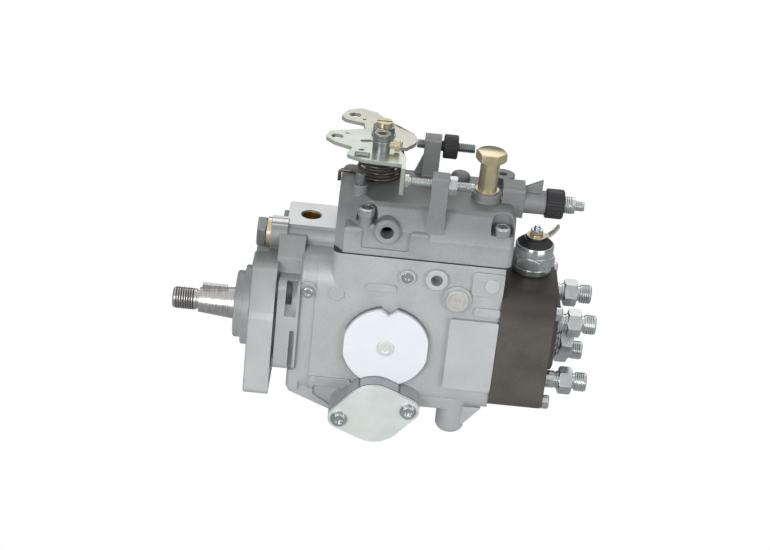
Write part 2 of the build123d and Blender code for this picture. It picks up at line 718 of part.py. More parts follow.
def flyweight(i):
    x, r = weight_pivot_x, weight_pivot_r
    arm = prism_y([
        (x - 2.0, r + weight_t), (x + weight_len, r + weight_t), (x + weight_len, r - 1.5),
        (x + 2.0, r - 1.5),
        (x + 2.0, sleeve_r + 1.2), (x - 1.2, sleeve_r + 1.2), (x - 2.0, r - 1.5),
    ], -weight_w / 2, weight_w / 2)
    return Pos(0, 0, gov_z) * (Rot(90 * i + 45, 0, 0) * arm)


def governor_sleeve():
    tube = rod_x(sleeve_r, sleeve_x0, sleeve_x1, 0, gov_z) + rod_x(11.0, sleeve_x0, sleeve_x0 + 2, 0, gov_z)
    return tube - rod_x(gov_shaft_r + RUN, sleeve_x0 - 1, sleeve_x1 + 1, 0, gov_z)


def governor_lever():
    plate = block(lever_x - 2.0, lever_x + 2.0, -9.0, 9.0, 26.0, gov_z + 14)
    plate = fillet(plate.edges().filter_by(Axis.X), 3.0)
    plate += rod_y(7.0, -20.0, 20.0, lever_x, lever_pivot_z)
    nose = rod_x(4.0, sleeve_x1 + seat_gap, lever_x, 0, gov_z)
    tail = rod_z(2.5, 9.5, 27.0, lever_x, 0)
    ball = Pos(lever_x, 0, 9.3) * Sphere(3.0)
    shape = plate + nose + tail + ball
    return shape - rod_y(4.0 + RUN, -21, 21, lever_x, lever_pivot_z)


def pivot_screws():
    near = rod_y(4.0, -body_half_w - 1, -10.0, lever_x, lever_pivot_z)
    near += rod_y(6.0, -body_half_w - 2.5, -27.0, lever_x, lever_pivot_z)
    near += rod_y(7.0, -body_half_w - 4.0, -body_half_w - 2.0, lever_x, lever_pivot_z)
    far = mirror(near, Plane.XZ)
    return group([near, far])


def control_spool():
    tube = rod_x(spool_r, spool_x0, spool_x0 + spool_len) - rod_x(plunger_r + RUN, 0, 200)
    return tube - rod_z(3.05, 4.0, 20.0, lever_x, 0)


# ---- timing device ------------------------------------------------------------------------------
def roller_ring():
    ring = rod_x(main_bore_r - RUN, ring_x0, ring_x1) - rod_x(ring_bore_r, 0, 200)
    for i in range(4):
        pocket = rod_z(roller_r + 0.1, 16.0, 23.5, roller_axis_x, 0)
        ring -= Rot(45 + 90 * i, 0, 0) * pocket
    ring -= rod_z(2.6, -30.0, -15.0, timing_x, 0)
    roller = rod_z(roller_r, ring_bore_r + 0.2, 23.3, roller_axis_x, 0)
    rollers = [Rot(45 + 90 * i, 0, 0) * roller for i in range(4)]
    return group([ring] + rollers)


def advance_pin():
    return rod_z(2.6, timing_z, -18.0, timing_x, 0) + Pos(timing_x, 0, timing_z) * Sphere(4.0)


def timing_piston():
    half = timing_piston_half
    body = rod_y(timing_bore_r - RUN, -half, half, timing_x, timing_z)
    body -= rod_z(4.15, timing_z - 6, timing_z + 20, timing_x, 0)
    body -= block(timing_x - 4.15, timing_x + 4.15, -5.8, 5.8, timing_z + 4.2, timing_z + 20)
    body -= rod_y(8.0, half - 8, half + 1, timing_x, timing_z)
    return body


def timing_covers():
    covers = []
    for side in (-1, 1):
        inner = timing_face_y + timing_gasket_t
        y0, y1 = sorted((side * inner, side * (inner + timing_cover_t)))
        plate = timing_slab(y0, y1)
        for x, z in timing_screw_points():
            plate -= rod_y(2.7, y0 - 1, y1 + 1, x, z)
        covers.append(plate)
    return group(covers)


def timing_gaskets():
    sheets = []
    for side in (-1, 1):
        y0, y1 = sorted((side * timing_face_y, side * (timing_face_y + timing_gasket_t)))
        sheet = timing_slab(y0, y1) - rod_y(timing_bore_r, y0 - 1, y1 + 1, timing_x, timing_z)
        for x, z in timing_screw_points():
            sheet -= rod_y(2.7, y0 - 1, y1 + 1, x, z)
        sheets.append(sheet)
    return group(sheets)


def timing_screws():
    screws = []
    face = timing_face_y + timing_gasket_t + timing_cover_t
    for x, z in timing_screw_points():
        screw = rod_y(2.1, -face, -face + 14, x, z) + rod_y(4.5, -face - 3.5, -face, x, z)
        screws += [screw, mirror(screw, Plane.XZ)]
    return group(screws)


# ---- levers on the cover ------------------------------------------------------------------------
def throttle_shaft():
    rod = rod_z(throttle_r, deck_z - 6, lever_z + lever_t + 9, throttle_x, throttle_y)
    rod -= block(0, 200, throttle_y - 0.8, throttle_y + 0.8, lever_z + lever_t + 7.2, lever_z + 20)
    crank = rod_z(2.0, deck_z - 12, deck_z - 5, throttle_x, throttle_y - 2.5)
    return rod + crank


def lever_outline(points, holes):
    face = make_face(Polyline(*points, close=True))
    face = fillet(face.vertices(), 3.0)
    for x, y, r in holes:
        face -= Pos(x, y) * Circle(r)
    return face


def control_lever():
    """Lower lever: linkage arm on the left, idle tab bent down at the front right corner."""
    points = [
        (36.5, 3.0), (42.0, -3.5), (53.5, -9.5), (50.0, -21.0), (60.0, -26.0), (85.5, -28.0),
        (85.5, -16.0), (80.0, -3.0), (83.5, 8.0), (78.0, 20.0), (62.0, 22.0), (50.0, 16.5), (39.0, 12.5),
    ]
    holes = [(43.5, 5.0, 3.6), (throttle_x, throttle_y, throttle_r), (58.8, -12.3, 1.6)]
    plate = extrude(Plane.XY.offset(lever_z) * lever_outline(points, holes), lever_t)
    slot = Pos(61.5, 2.0) * Rot(0, 0, 14) * SlotOverall(8.0, 3.6)
    plate -= extrude(Plane.XY.offset(lever_z - 1) * slot, lever_t + 2)
    tab = block(tab_x - lever_t, tab_x, idle_y - 5, -18.0, idle_z - 8.5, lever_z + lever_t)
    tab = fillet(tab.edges().filter_by(Axis.X).group_by(Axis.Z)[0], 3.0)
    return plate + tab


def upper_lever():
    """Second arm under the control lever, with the tab that meets the maximum speed screw."""
    top = lever_z - seat_gap / 3
    points = [
        (44.0, 44.0), (47.0, 39.5), (58.5, 36.0), (60.0, 24.0), (62.0, 8.0), (74.0, 2.5), (86.0, 3.5), (91.0, 14.0),
        (90.0, 26.0), (82.0, 35.0), (72.0, 45.0), (66.0, 55.0), (56.0, 59.5), (48.0, 54.5),
    ]
    holes = [(52.5, 47.5, 3.6), (throttle_x, throttle_y, throttle_r)]
    plate = extrude(Plane.XY.offset(top - lever_t) * lever_outline(points, holes), lever_t)
    angle = 62.6
    tab = block(throttle_x + max_tab_r - lever_t, throttle_x + max_tab_r, throttle_y + 8.0, throttle_y + 14.0,
                max_z - 6, top - 0.1)
    turn = Pos(throttle_x, throttle_y, 0) * Rot(0, 0, angle - 27.6) * Pos(-throttle_x, -throttle_y, 0)
    return plate + turn * tab


def lever_nut():
    nut = hex_z(12.0, lever_z + lever_t, lever_z + lever_t + 6, throttle_x, throttle_y)
    return nut + rod_z(7.4, lever_z + lever_t, lever_z + lever_t + 1.2, throttle_x, throttle_y) - rod_z(
        throttle_r, lever_z, lever_z + 20, throttle_x, throttle_y)


def lever_bush():
    z0 = lever_z + lever_t
    bush = rod_z(5.25, z0, z0 + 11.5, 70.3, -11.0) - rod_z(3.4, z0 + 1, z0 + 12, 70.3, -11.0)
    screw_z = lever_z + lever_t + 4.2
    return bush + rod_x(2.0, 75.0, 79.5, -11.0, screw_z) + rod_x(3.4, 78.5, 81.5, -11.0, screw_z)


def return_spring():
    """Coil round the throttle boss; one leg lies on the deck and hooks over the edge of the cover."""
    wire = spring_wire_r
    path = Helix(pitch=spring_pitch, height=spring_pitch * spring_turns, radius=spring_r)
    section = Plane(origin=path @ 0, z_dir=path % 0) * RegularPolygon(wire, 6)
    coil = sweep(section, path=path, is_frenet=True)
    coil = Pos(throttle_x, throttle_y, spring_z0) * (Rot(0, 0, 180) * coil)
    start_x = throttle_x - spring_r
    hook_x = deck_x0 - wire
    leg = rod_x(wire, hook_x - wire, start_x + wire, throttle_y, spring_z0)
    hook = rod_z(wire, spring_z0 - 7, spring_z0, hook_x, throttle_y)
    end_z = spring_z0 + spring_pitch * spring_turns
    tail = rod_z(wire, end_z - 0.3, lever_z - lever_t - 0.4, throttle_x + spring_r, throttle_y)
    return coil + leg + hook + tail


def idle_screw():
    head_x = tab_x + seat_gap
    return rod_x(screw_r, head_x + 1, 127.0, idle_y, idle_z) + rod_x(4.2, head_x, head_x + 2.5, idle_y, idle_z)


def idle_lock_nut():
    nut = hex_x(10.0, near_lug_x0 + lug_t, near_lug_x0 + lug_t + 5, idle_y, idle_z)
    return nut - rod_x(screw_r, 0, 200, idle_y, idle_z)


def max_speed_screw():
    return rod_x(screw_r, throttle_x + max_tab_r + seat_gap, 128.0, max_y, max_z)


def tamper_collars():
    """Collars that lock the maximum speed screw and the full load screw."""
    seat_x = far_lug_x0 + lug_t
    first = rod_x(7.2, seat_x + 5, seat_x + 13, max_y, max_z) + rod_x(5.0, seat_x, seat_x + 6, max_y, max_z)
    first -= rod_x(screw_r, seat_x - 1, seat_x + 14, max_y, max_z)
    second = rod_x(9.0, full_x0, full_x0 + 11, 0, full_z)
    second = chamfer(second.edges().group_by(Axis.X)[-1], 1.0)
    second -= rod_x(full_r, full_x0 - 1, full_x0 + 12, 0, full_z)
    return group([first, second])


def full_load_screw():
    shank = rod_x(full_r, cover_x1 - 11, full_x0 + 17.8, 0, full_z)
    return shank + rod_x(2.8, full_x0 + 17, full_x0 + 23.6, 0, full_z)


def spring_anchor():
    pin = rod_z(2.8, deck_z - 4.0, deck_z + 4.5, anchor_x, anchor_y)
    return pin + rod_z(3.1, deck_z + 4.5, deck_z + 12, anchor_x, anchor_y)


def overflow_bolt():
    z0 = overflow_boss_z + 1.5
    shank = rod_z(5.9, z0, overflow_top_z, overflow_x, overflow_y)
    head = hex_z(16.5, overflow_top_z, overflow_top_z + 6, overflow_x, overflow_y, 20)
    return shank + head + rod_z(4.0, deck_z - 4, z0, overflow_x, overflow_y)


def sealing_washers():
    first = rod_x(boss_r, gov_nut_t, gov_nut_t + washer_t, 0, gov_z) - rod_x(gov_shaft_r, 0, 20, 0, gov_z)
    second = rod_z(7.4, overflow_boss_z, overflow_boss_z + 1.5, overflow_x, overflow_y)
    second -= rod_z(4.0, overflow_boss_z - 1, overflow_boss_z + 3, overflow_x, overflow_y)
    return group([first, second])


def cover_screws():
    screws = []
    for x, y in cover_screw_points():
        seat = screw_seat(x, y)
        screws.append(rod_z(2.6, 48.0, seat, x, y) + rod_z(4.9, seat, seat + 5.6, x, y))
    return group(screws)


def cover_gasket():
    top = seam_z + gasket_t
    sheet = block(deck_x0, body_x1, -body_half_w, body_half_w, seam_z, top)
    sheet = fillet(sheet.edges().filter_by(Axis.Z).group_by(Axis.X)[0], 5.0)
    sheet -= block(deck_x0 + 5, chamber_x1, -chamber_half_w, chamber_half_w, seam_z - 1, top + 1)
    for x, y in cover_screw_points():
        sheet -= rod_z(screw_hole_r, seam_z - 1, top + 1, x, y)
    return sheet


# ---- distributor head ---------------------------------------------------------------------------
def distributor_head():
    height = head_top_z - head_bottom_z
    middle = (head_top_z + head_bottom_z) / 2
    face = Plane.YZ.offset(body_x1) * Pos(0, middle) * RectangleRounded(2 * head_half_w, height, head_corner_r)
    shape = extrude(face, head_x1 - body_x1)
    shape = chamfer(shape.edges().group_by(Axis.X)[-1], 0.8)
    shape += rod_x(main_bore_r - 0.1, body_x1 - 6, body_x1 + 1)
    low = outlet_bore_r - outlet_r
    raised = prism_x([
        (-head_step_half_w, low + 7), (7 - head_step_half_w, low), (head_step_half_w - 7, low),
        (head_step_half_w, low + 7), (head_step_half_w, outlet_r + 12), (-head_step_half_w, outlet_r + 12),
    ], head_x1 - 1, head_step_x)
    raised = fillet(raised.edges().filter_by(Axis.X), 3.0)
    shape += chamfer(raised.edges().group_by(Axis.X)[-1], 0.6)
    shape -= rod_x(barrel_r, body_x1 - 7, barrel_x1)
    shape -= rod_x(plug_shank_r, barrel_x1 - 1, head_step_x + 1)
    for y, z in outlet_points():
        shape -= rod_x(outlet_bore_r, body_x1 + 16, head_step_x + 1, y, z)
    for y, z in head_screw_points():
        shape -= rod_x(2.9, body_x1 - 1, head_x1 + 1, y, z)
    return shape - rod_z(9.0, barrel_r - 5, head_top_z + 1, solenoid_x, 0)


def outlet_points():
    return [(sy * outlet_r, sz * outlet_r) for sy in (-1, 1) for sz in (-1, 1)]


def distributor_barrel():
    return rod_x(barrel_r, barrel_x0, barrel_x1) - rod_x(plunger_r + RUN, barrel_x0 - 1, barrel_x1 + 1)


def head_screws():
    screws = [rod_x(2.6, body_x1 - 12, head_x1, y, z) + rod_x(4.5, head_x1, head_x1 + 4.5, y, z)
              for y, z in head_screw_points()]
    return group(screws)


def valve_holders():
    holders = []
    for y, z in outlet_points():
        shape = rod_x(outlet_bore_r, body_x1 + 17, outlet_hex_x0 + 0.5, y, z)
        shape += hex_x(15.0, outlet_hex_x0, outlet_hex_x1, y, z)
        shape += rod_x(4.6, outlet_hex_x1 - 0.3, outlet_neck_x1, y, z)
        thread = rod_x(outlet_thread_r, outlet_neck_x1 - 0.3, outlet_x1, y, z)
        shape += chamfer(thread.edges().group_by(Axis.X)[-1], 0.6)
        shape -= rod_x(1.6, body_x1 + 16, outlet_x1 + 1, y, z)
        shape -= Pos(outlet_x1 - 1.5, y, z) * Rot(0, 90, 0) * Cone(1.6, 3.6, 3.2)
        holders.append(shape)
    return group(holders)


def centre_plug():
    shank = rod_x(plug_shank_r, barrel_x1 + seat_gap, plug_hex_x0 + 0.5)
    head = hex_x(plug_af, plug_hex_x0, plug_hex_x1)
    return shank + head - rod_x(4.0, plug_hex_x1 - 2.0, plug_hex_x1 + 1)


def solenoid_body():
    hex_z0 = head_top_z + 4.8
    hex_z1 = hex_z0 + 7.5
    shape = rod_z(9.0, 22.0, head_top_z + 1, solenoid_x, 0) + rod_z(12.0, head_top_z, hex_z0, solenoid_x, 0)
    shape += hex_z(24.0, hex_z0, hex_z1, solenoid_x, 0)
    shape += rod_z(solenoid_r, hex_z1 - 0.3, solenoid_top_z, solenoid_x, 0)
    return shape - rod_z(4.0 + RUN, 21.0, 40.0, solenoid_x, 0)


def solenoid_plunger():
    return rod_z(4.0, 17.0, 36.0, solenoid_x, 0)


def solenoid_insulator():
    z = solenoid_top_z
    cone = Pos(solenoid_x, 0, z + 1.75) * Cone(10.8, 7.4, 3.5)
    return cone + rod_z(6.4, z + 3, z + 4.5, solenoid_x, 0) - rod_z(2.0, z - 1, z + 6, solenoid_x, 0)


def terminal_stud():
    z = solenoid_top_z
    return rod_z(2.0, z, z + 11.5, solenoid_x, 0) + hex_z(8.0, z + 5.3, z + 8.6, solenoid_x, 0)


def terminal_tag():
    """Flat ring under the nut with a thin flag that bends up from it."""
    z = solenoid_top_z + 4.5
    thick = 0.8
    ring = rod_z(6.0, z, z + thick, solenoid_x, 0) - rod_z(2.0, z - 1, z + 2, solenoid_x, 0)
    bend = [(5.0, 0), (5.0, thick), (7.5, 1.8), (10.0, 4.2), (12.6, 8.2), (13.4, 7.8), (11.0, 3.8), (8.4, 1.1)]
    flag = prism_y([(solenoid_x + dx, z + dz) for dx, dz in bend], -2.6, 2.6)
    return ring + flag


# ---- small pieces of the housing ----------------------------------------------------------------
def shaft_seal():
    return rod_x(seal_r, seal_x0, seal_x1) - rod_x(shaft_r + RUN, seal_x0 - 5, seal_x1 + 1)


def shaft_bush():
    return rod_x(bush_r, seal_x1, bush_x1) - rod_x(shaft_r + RUN, seal_x1 - 1, bush_x1 + 1)


def inlet_strainer():
    """Cup that lines the inlet bore."""
    cup = rod_z(inlet_r, strainer_z0, seam_z - 1, inlet_x, inlet_y)
    return cup - rod_z(inlet_r - 0.5, strainer_z0 + 2, seam_z, inlet_x, inlet_y)


def type_plate():
    face = Plane.XZ.offset(body_half_w + plate_pad_t) * plate_face(plate_r, notch_half_w)
    plate = extrude(face, plate_t) - timing_slab(-60, -30, FREE)
    return plate - rod_y(rivet_r, -60, -30, plate_x, plate_z)


def plate_rivet():
    face = -body_half_w - plate_pad_t - plate_t
    shank = rod_y(rivet_r, face, 1.5 - body_half_w, plate_x, plate_z)
    return shank + rod_y(5.4, face - 1.2, face, plate_x, plate_z)


def body_plugs():
    """Small screws of the near wall: a lock screw beside the flange and a sunk bleed screw."""
    wall = -body_half_w
    lock = rod_y(2.8, wall - 3.0, wall, lock_x, lock_z) + rod_y(3.4, wall - 5.5, wall - 3.0, lock_x, lock_z)
    bleed = rod_y(3.6, wall - 2.0, wall - 0.5, boss_screw_x, boss_screw_z)
    bleed -= hex_y(3.0, wall - 2.5, wall - 1.0, boss_screw_x, boss_screw_z)
    return group([lock, bleed])


NODES = {
    "housing": housing, "governor_cover": governor_cover, "cover_gasket": cover_gasket,
    "cover_screws": cover_screws, "shaft_seal": shaft_seal, "shaft_bush": shaft_bush, "pump_ring": pump_ring,
    "pump_plate": pump_plate, "governor_shaft": governor_shaft, "governor_lock_nut": governor_lock_nut,
    "sealing_washers": sealing_washers, "distributor_head": distributor_head,
    "distributor_barrel": distributor_barrel, "head_screws": head_screws,
    "valve_holders": valve_holders, "centre_plug": centre_plug, "solenoid_body": solenoid_body,
    "solenoid_plunger": solenoid_plunger, "solenoid_insulator": solenoid_insulator,
    "terminal_stud": terminal_stud, "terminal_tag": terminal_tag, "timing_covers": timing_covers,
    "timing_gaskets": timing_gaskets, "timing_screws": timing_screws, "inlet_strainer": inlet_strainer,
    "overflow_bolt": overflow_bolt, "idle_screw": idle_screw, "idle_lock_nut": idle_lock_nut,
    "max_speed_screw": max_speed_screw, "tamper_collars": tamper_collars, "full_load_screw": full_load_screw,
    "spring_anchor": spring_anchor, "type_plate": type_plate, "plate_rivet": plate_rivet,
    "body_plugs": body_plugs, "pivot_screws": pivot_screws, "drive_shaft": drive_shaft, "shaft_key": shaft_key,
    "pump_rotor": pump_rotor, "drive_gear": drive_gear, "cam_plate": cam_plate,
    "distributor_plunger": distributor_plunger, "flyweight_carrier": flyweight_carrier,
    "governor_sleeve": governor_sleeve, "governor_lever": governor_lever, "control_spool": control_spool,
    "throttle_shaft": throttle_shaft, "control_lever": control_lever, "upper_lever": upper_lever,
    "lever_nut": lever_nut, "lever_bush": lever_bush, "return_spring": return_spring,
    "timing_piston": timing_piston, "roller_ring": roller_ring,
    "advance_pin": advance_pin,
}

for node, make in NODES.items():
    save(node, make())
for number in range(4):
    save(f"flyweight_{number + 1}", flyweight(number))
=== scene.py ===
import bpy
import json
import math
from mathutils import Matrix, Vector


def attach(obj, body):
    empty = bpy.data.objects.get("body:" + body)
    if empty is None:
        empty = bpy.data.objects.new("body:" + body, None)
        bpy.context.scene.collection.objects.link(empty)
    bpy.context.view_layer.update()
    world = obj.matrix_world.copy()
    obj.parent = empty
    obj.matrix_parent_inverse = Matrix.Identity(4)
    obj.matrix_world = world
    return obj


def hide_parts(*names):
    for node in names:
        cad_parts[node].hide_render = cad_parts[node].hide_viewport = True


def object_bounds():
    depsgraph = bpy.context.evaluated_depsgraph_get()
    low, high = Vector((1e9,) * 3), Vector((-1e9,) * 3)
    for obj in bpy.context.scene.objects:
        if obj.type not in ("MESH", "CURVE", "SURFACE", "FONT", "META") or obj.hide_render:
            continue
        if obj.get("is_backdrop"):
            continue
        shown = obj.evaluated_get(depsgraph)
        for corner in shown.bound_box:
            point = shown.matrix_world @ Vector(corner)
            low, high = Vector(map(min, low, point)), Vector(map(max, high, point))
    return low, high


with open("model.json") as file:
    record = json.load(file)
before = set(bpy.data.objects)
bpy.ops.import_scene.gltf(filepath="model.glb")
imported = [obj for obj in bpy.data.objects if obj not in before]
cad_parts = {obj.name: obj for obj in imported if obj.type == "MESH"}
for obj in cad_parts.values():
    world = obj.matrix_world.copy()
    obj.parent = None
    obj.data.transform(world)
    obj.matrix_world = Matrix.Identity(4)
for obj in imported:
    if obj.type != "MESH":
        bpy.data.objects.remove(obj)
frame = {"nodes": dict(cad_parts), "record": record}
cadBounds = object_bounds()
nodes = frame["nodes"]
mm = 0.001
alongX = (1, 0, 0)
alongZ = (0, 0, 1)
print("frame loaded,", len(nodes), "nodes")


# selection and edit helpers

def deselectAll():
    bpy.ops.object.select_all(action="DESELECT")


def makeActive(obj):
    deselectAll()
    obj.select_set(True)
    bpy.context.view_layer.objects.active = obj


def editFaces(obj, test):
    # enters edit mode with the faces selected whose centre and normal pass the test
    mesh = obj.data
    for group in (mesh.vertices, mesh.edges, mesh.polygons):
        for item in group:
            item.select = False
    for face in mesh.polygons:
        face.select = test(face.center, face.normal)
    makeActive(obj)
    bpy.context.tool_settings.mesh_select_mode = (False, False, True)
    bpy.ops.object.mode_set(mode="EDIT")


def editAll(obj):
    editFaces(obj, lambda centre, normal: True)


def leaveEdit():
    bpy.ops.object.mode_set(mode="OBJECT")


def settle(obj):
    makeActive(obj)
    bpy.ops.object.transform_apply(location=True, rotation=True, scale=True)


def applyModifier(obj, kind, **values):
    makeActive(obj)
    modifier = obj.modifiers.new(kind.lower(), kind)
    for key, value in values.items():
        setattr(modifier, key, value)
    bpy.ops.object.modifier_apply(modifier=modifier.name)


def cut(obj, cutter, operation="DIFFERENCE"):
    applyModifier(obj, "BOOLEAN", object=cutter, operation=operation, solver="EXACT")
    bpy.data.objects.remove(cutter, do_unlink=True)


def smooth(obj, degrees=30):
    makeActive(obj)
    bpy.ops.object.shade_smooth_by_angle(angle=math.radians(degrees))


def named(name):
    obj = bpy.context.active_object
    obj.name = name
    obj.data.name = name
    return obj


def placed(obj, place, axis=alongZ):
    # turns a piece made along +Z to lie along axis, and moves it to place in millimetres
    turn = Vector(alongZ).rotation_difference(Vector(axis)).to_matrix().to_4x4()
    obj.matrix_world = Matrix.Translation(Vector(place) * mm) @ turn
    settle(obj)
    return obj


def joined(objects, name):
    deselectAll()
    for obj in objects:
        obj.select_set(True)
    bpy.context.view_layer.objects.active = objects[0]
    if len(objects) > 1:
        bpy.ops.object.join()
    return named(name)


def copied(obj, name):
    twin = obj.copy()
    twin.data = obj.data.copy()
    bpy.context.collection.objects.link(twin)
    makeActive(twin)
    return named(name)


def repeated(obj, name, places):
    # one copy at each place and axis, joined in a single piece
    twins = [obj] + [copied(obj, f"{name}{number}") for number in range(1, len(places))]
    return joined([placed(twin, place, axis) for twin, (place, axis) in zip(twins, places)], name)


# basic forms, made along +Z from the origin, with sizes in millimetres

hexForm = {"full": 1.01, "trim": 0.85, "drop": 0.09, "slack": 0.01, "segments": 48}
star = {"sides": 12, "core": 0.80, "margin": 0.05, "lobe": 0.2}
ridge = {"sunk": 0.25, "halfFoot": 0.44, "steps": 28, "smooth": 50}


def turned(name, steps, segments=40):
    # steps are (height, radius) from the bottom face to the top face
    height, radius = steps[0]
    bpy.ops.mesh.primitive_circle_add(vertices=segments, radius=radius * mm, fill_type="NGON",
                                      location=(0, 0, height * mm))
    obj = named(name)
    bpy.ops.object.mode_set(mode="EDIT")
    bpy.ops.mesh.select_all(action="SELECT")
    for nextHeight, nextRadius in steps[1:]:
        rise = (0, 0, (nextHeight - height) * mm)
        bpy.ops.mesh.extrude_region_move(TRANSFORM_OT_translate={"value": rise})
        if nextRadius != radius:
            ratio = nextRadius / radius
            bpy.ops.transform.resize(value=(ratio, ratio, 1), center_override=(0, 0, nextHeight * mm))
        height, radius = nextHeight, nextRadius
    bpy.ops.mesh.select_all(action="SELECT")
    bpy.ops.mesh.normals_make_consistent(inside=False)
    leaveEdit()
    settle(obj)
    return obj


def rod(name, sides, radius, z0, z1, turn=0.0):
    bpy.ops.mesh.primitive_cylinder_add(
        vertices=sides, radius=radius * mm, depth=(z1 - z0) * mm, location=(0, 0, (z0 + z1) / 2 * mm),
        rotation=(0, 0, math.radians(turn)))
    obj = named(name)
    settle(obj)
    return obj


def hexagon(name, acrossFlats, z0, z1, turn=0.0):
    # a cone at each end trims the corners
    corner = acrossFlats / math.sqrt(3)
    obj = rod(name, 6, corner, z0, z1, turn)
    full, trim, drop = (corner * hexForm[key] for key in ("full", "trim", "drop"))
    slack = hexForm["slack"]
    steps = [(z0 - slack, trim), (z0 + drop, full), (z1 - drop, full), (z1 + slack, trim)]
    cut(obj, turned(name + "Trim", steps, hexForm["segments"]), "INTERSECT")
    return obj


def starCutter(name, radius, z0, z1):
    # a six-lobed socket: a twelve-sided rod whose every second side is pushed out
    obj = rod(name, star["sides"], radius * star["core"], z0, z1)
    sideAngle = math.tau / star["sides"]

    def isLobe(centre, normal):
        side = round(math.atan2(normal.y, normal.x) / sideAngle - 0.5)
        return abs(normal.z) < 0.1 and side % 2 == 0
    editFaces(obj, isLobe)
    bpy.ops.mesh.inset(thickness=radius * star["margin"] * mm, depth=radius * star["lobe"] * mm,
                       use_individual=True)
    leaveEdit()
    return obj


def threadCoil(name, thread):
    # a helical ridge with a triangular section, its foot sunk in the core
    pitch, depth = thread["pitch"], thread["depth"]
    foot = thread["core"] - depth * ridge["sunk"]
    # a triangle in a circle of 1 mm stands on end, its tip towards +X: it is 1.5 mm high and sqrt(3) mm wide
    bpy.ops.mesh.primitive_circle_add(vertices=3, radius=mm, fill_type="NOTHING",
                                      rotation=(math.pi / 2, math.pi / 2, 0))
    coil = named(name)
    settle(coil)
    stretch = depth * (1 + ridge["sunk"]) / 1.5
    spread = pitch * ridge["halfFoot"] * 2 / math.sqrt(3)
    bpy.ops.object.mode_set(mode="EDIT")
    bpy.ops.mesh.select_all(action="SELECT")
    bpy.ops.transform.resize(value=(stretch, 1, spread), center_override=(0, 0, 0))
    bpy.ops.transform.translate(value=((foot + stretch / 2) * mm, 0, 0))
    leaveEdit()
    applyModifier(coil, "SCREW", angle=math.tau, screw_offset=pitch * mm,
                  iterations=max(1, int((thread["length"] - pitch) / pitch)), steps=ridge["steps"],
                  render_steps=ridge["steps"], use_merge_vertices=False, use_smooth_shade=True)
    bpy.ops.object.mode_set(mode="EDIT")
    bpy.context.tool_settings.mesh_select_mode = (False, True, False)
    bpy.ops.mesh.select_all(action="DESELECT")
    bpy.ops.mesh.select_non_manifold()
    bpy.ops.mesh.edge_face_add()
    bpy.ops.mesh.select_all(action="SELECT")
    bpy.ops.mesh.normals_make_consistent(inside=False)
    bpy.ops.transform.translate(value=(0, 0, pitch / 2 * mm))
    leaveEdit()
    smooth(coil, ridge["smooth"])
    return coil


# node helpers

mixSockets = {"RGBA": (6, 7, 2), "FLOAT": (2, 3, 0)}


def colour4(rgb):
    return (*rgb, 1.0)


def connect(tree, node, inputs):
    # each input gets a link from a socket, or a fixed value
    for key, source in inputs.items():
        if isinstance(source, bpy.types.NodeSocket):
            tree.links.new(source, node.inputs[key])
        else:
            node.inputs[key].default_value = source


def addNode(tree, kind, inputs=None, **values):
    node = tree.nodes.new("ShaderNode" + kind)
    for key, value in values.items():
        setattr(node, key, value)
    connect(tree, node, inputs or {})
    return node


def calc(tree, operation, *values):
    return addNode(tree, "Math", dict(enumerate(values)), operation=operation).outputs[0]


def vectorCalc(tree, operation, *values):
    node = addNode(tree, "VectorMath", dict(enumerate(values)), operation=operation)
    return node.outputs["Value" if operation in ("DOT_PRODUCT", "LENGTH") else "Vector"]


def ramped(tree, value, low, high, toLow=0.0, toHigh=1.0, curve="LINEAR"):
    ends = {"Value": value, "From Min": low, "From Max": high, "To Min": toLow, "To Max": toHigh}
    return addNode(tree, "MapRange", ends, interpolation_type=curve).outputs["Result"]


def mixed(tree, kind, factor, first, second, blend="MIX"):
    firstKey, secondKey, result = mixSockets[kind]
    ends = {0: factor, firstKey: first, secondKey: second}
    return addNode(tree, "Mix", ends, data_type=kind, blend_type=blend).outputs[result]


def newGroup(name, inputs, outputs):
    # inputs and outputs name each socket and its kind
    group = bpy.data.node_groups.new(name, "ShaderNodeTree")
    for sockets, side in ((inputs, "INPUT"), (outputs, "OUTPUT")):
        for label, kind in sockets.items():
            group.interface.new_socket(name=label, in_out=side, socket_type="NodeSocket" + kind)
    return group, group.nodes.new("NodeGroupInput").outputs, group.nodes.new("NodeGroupOutput")


# shader groups

grain = {"fineDetail": 3.0, "broadScale": 45.0, "broadDetail": 4.0, "broadShare": 0.6, "dark": 0.32,
         "light": 0.68}
lines = {"detail": 2.0, "dark": 0.3, "light": 0.7}
milling = {"tilted": 0.93, "square": 0.97, "fade": 0.0003}
rounding = {"none": 0.995, "full": 0.80}
patternInputs = {"Vector": "Vector", "Light": "Color", "Dark": "Color", "Size": "Float", "Rough": "Float",
                 "Spread": "Float"}
patternOutputs = {"Color": "Color", "Roughness": "Float", "Height": "Float"}


def grainGroup():
    # cast skin: two sizes of mottling and a fine height
    group, given, end = newGroup("castGrain", patternInputs, patternOutputs)
    fine = addNode(group, "TexNoise", {
        "Vector": given["Vector"], "Scale": given["Size"], "Detail": grain["fineDetail"]}).outputs["Fac"]
    broad = addNode(group, "TexNoise", {
        "Vector": given["Vector"], "Scale": grain["broadScale"],
        "Detail": grain["broadDetail"]}).outputs["Fac"]
    blend = mixed(group, "FLOAT", grain["broadShare"], fine, broad)
    tone = ramped(group, blend, grain["dark"], grain["light"])
    connect(group, end, {
        "Color": mixed(group, "RGBA", tone, given["Dark"], given["Light"]),
        "Roughness": calc(group, "MULTIPLY_ADD", blend, given["Spread"], given["Rough"]), "Height": fine})
    return group


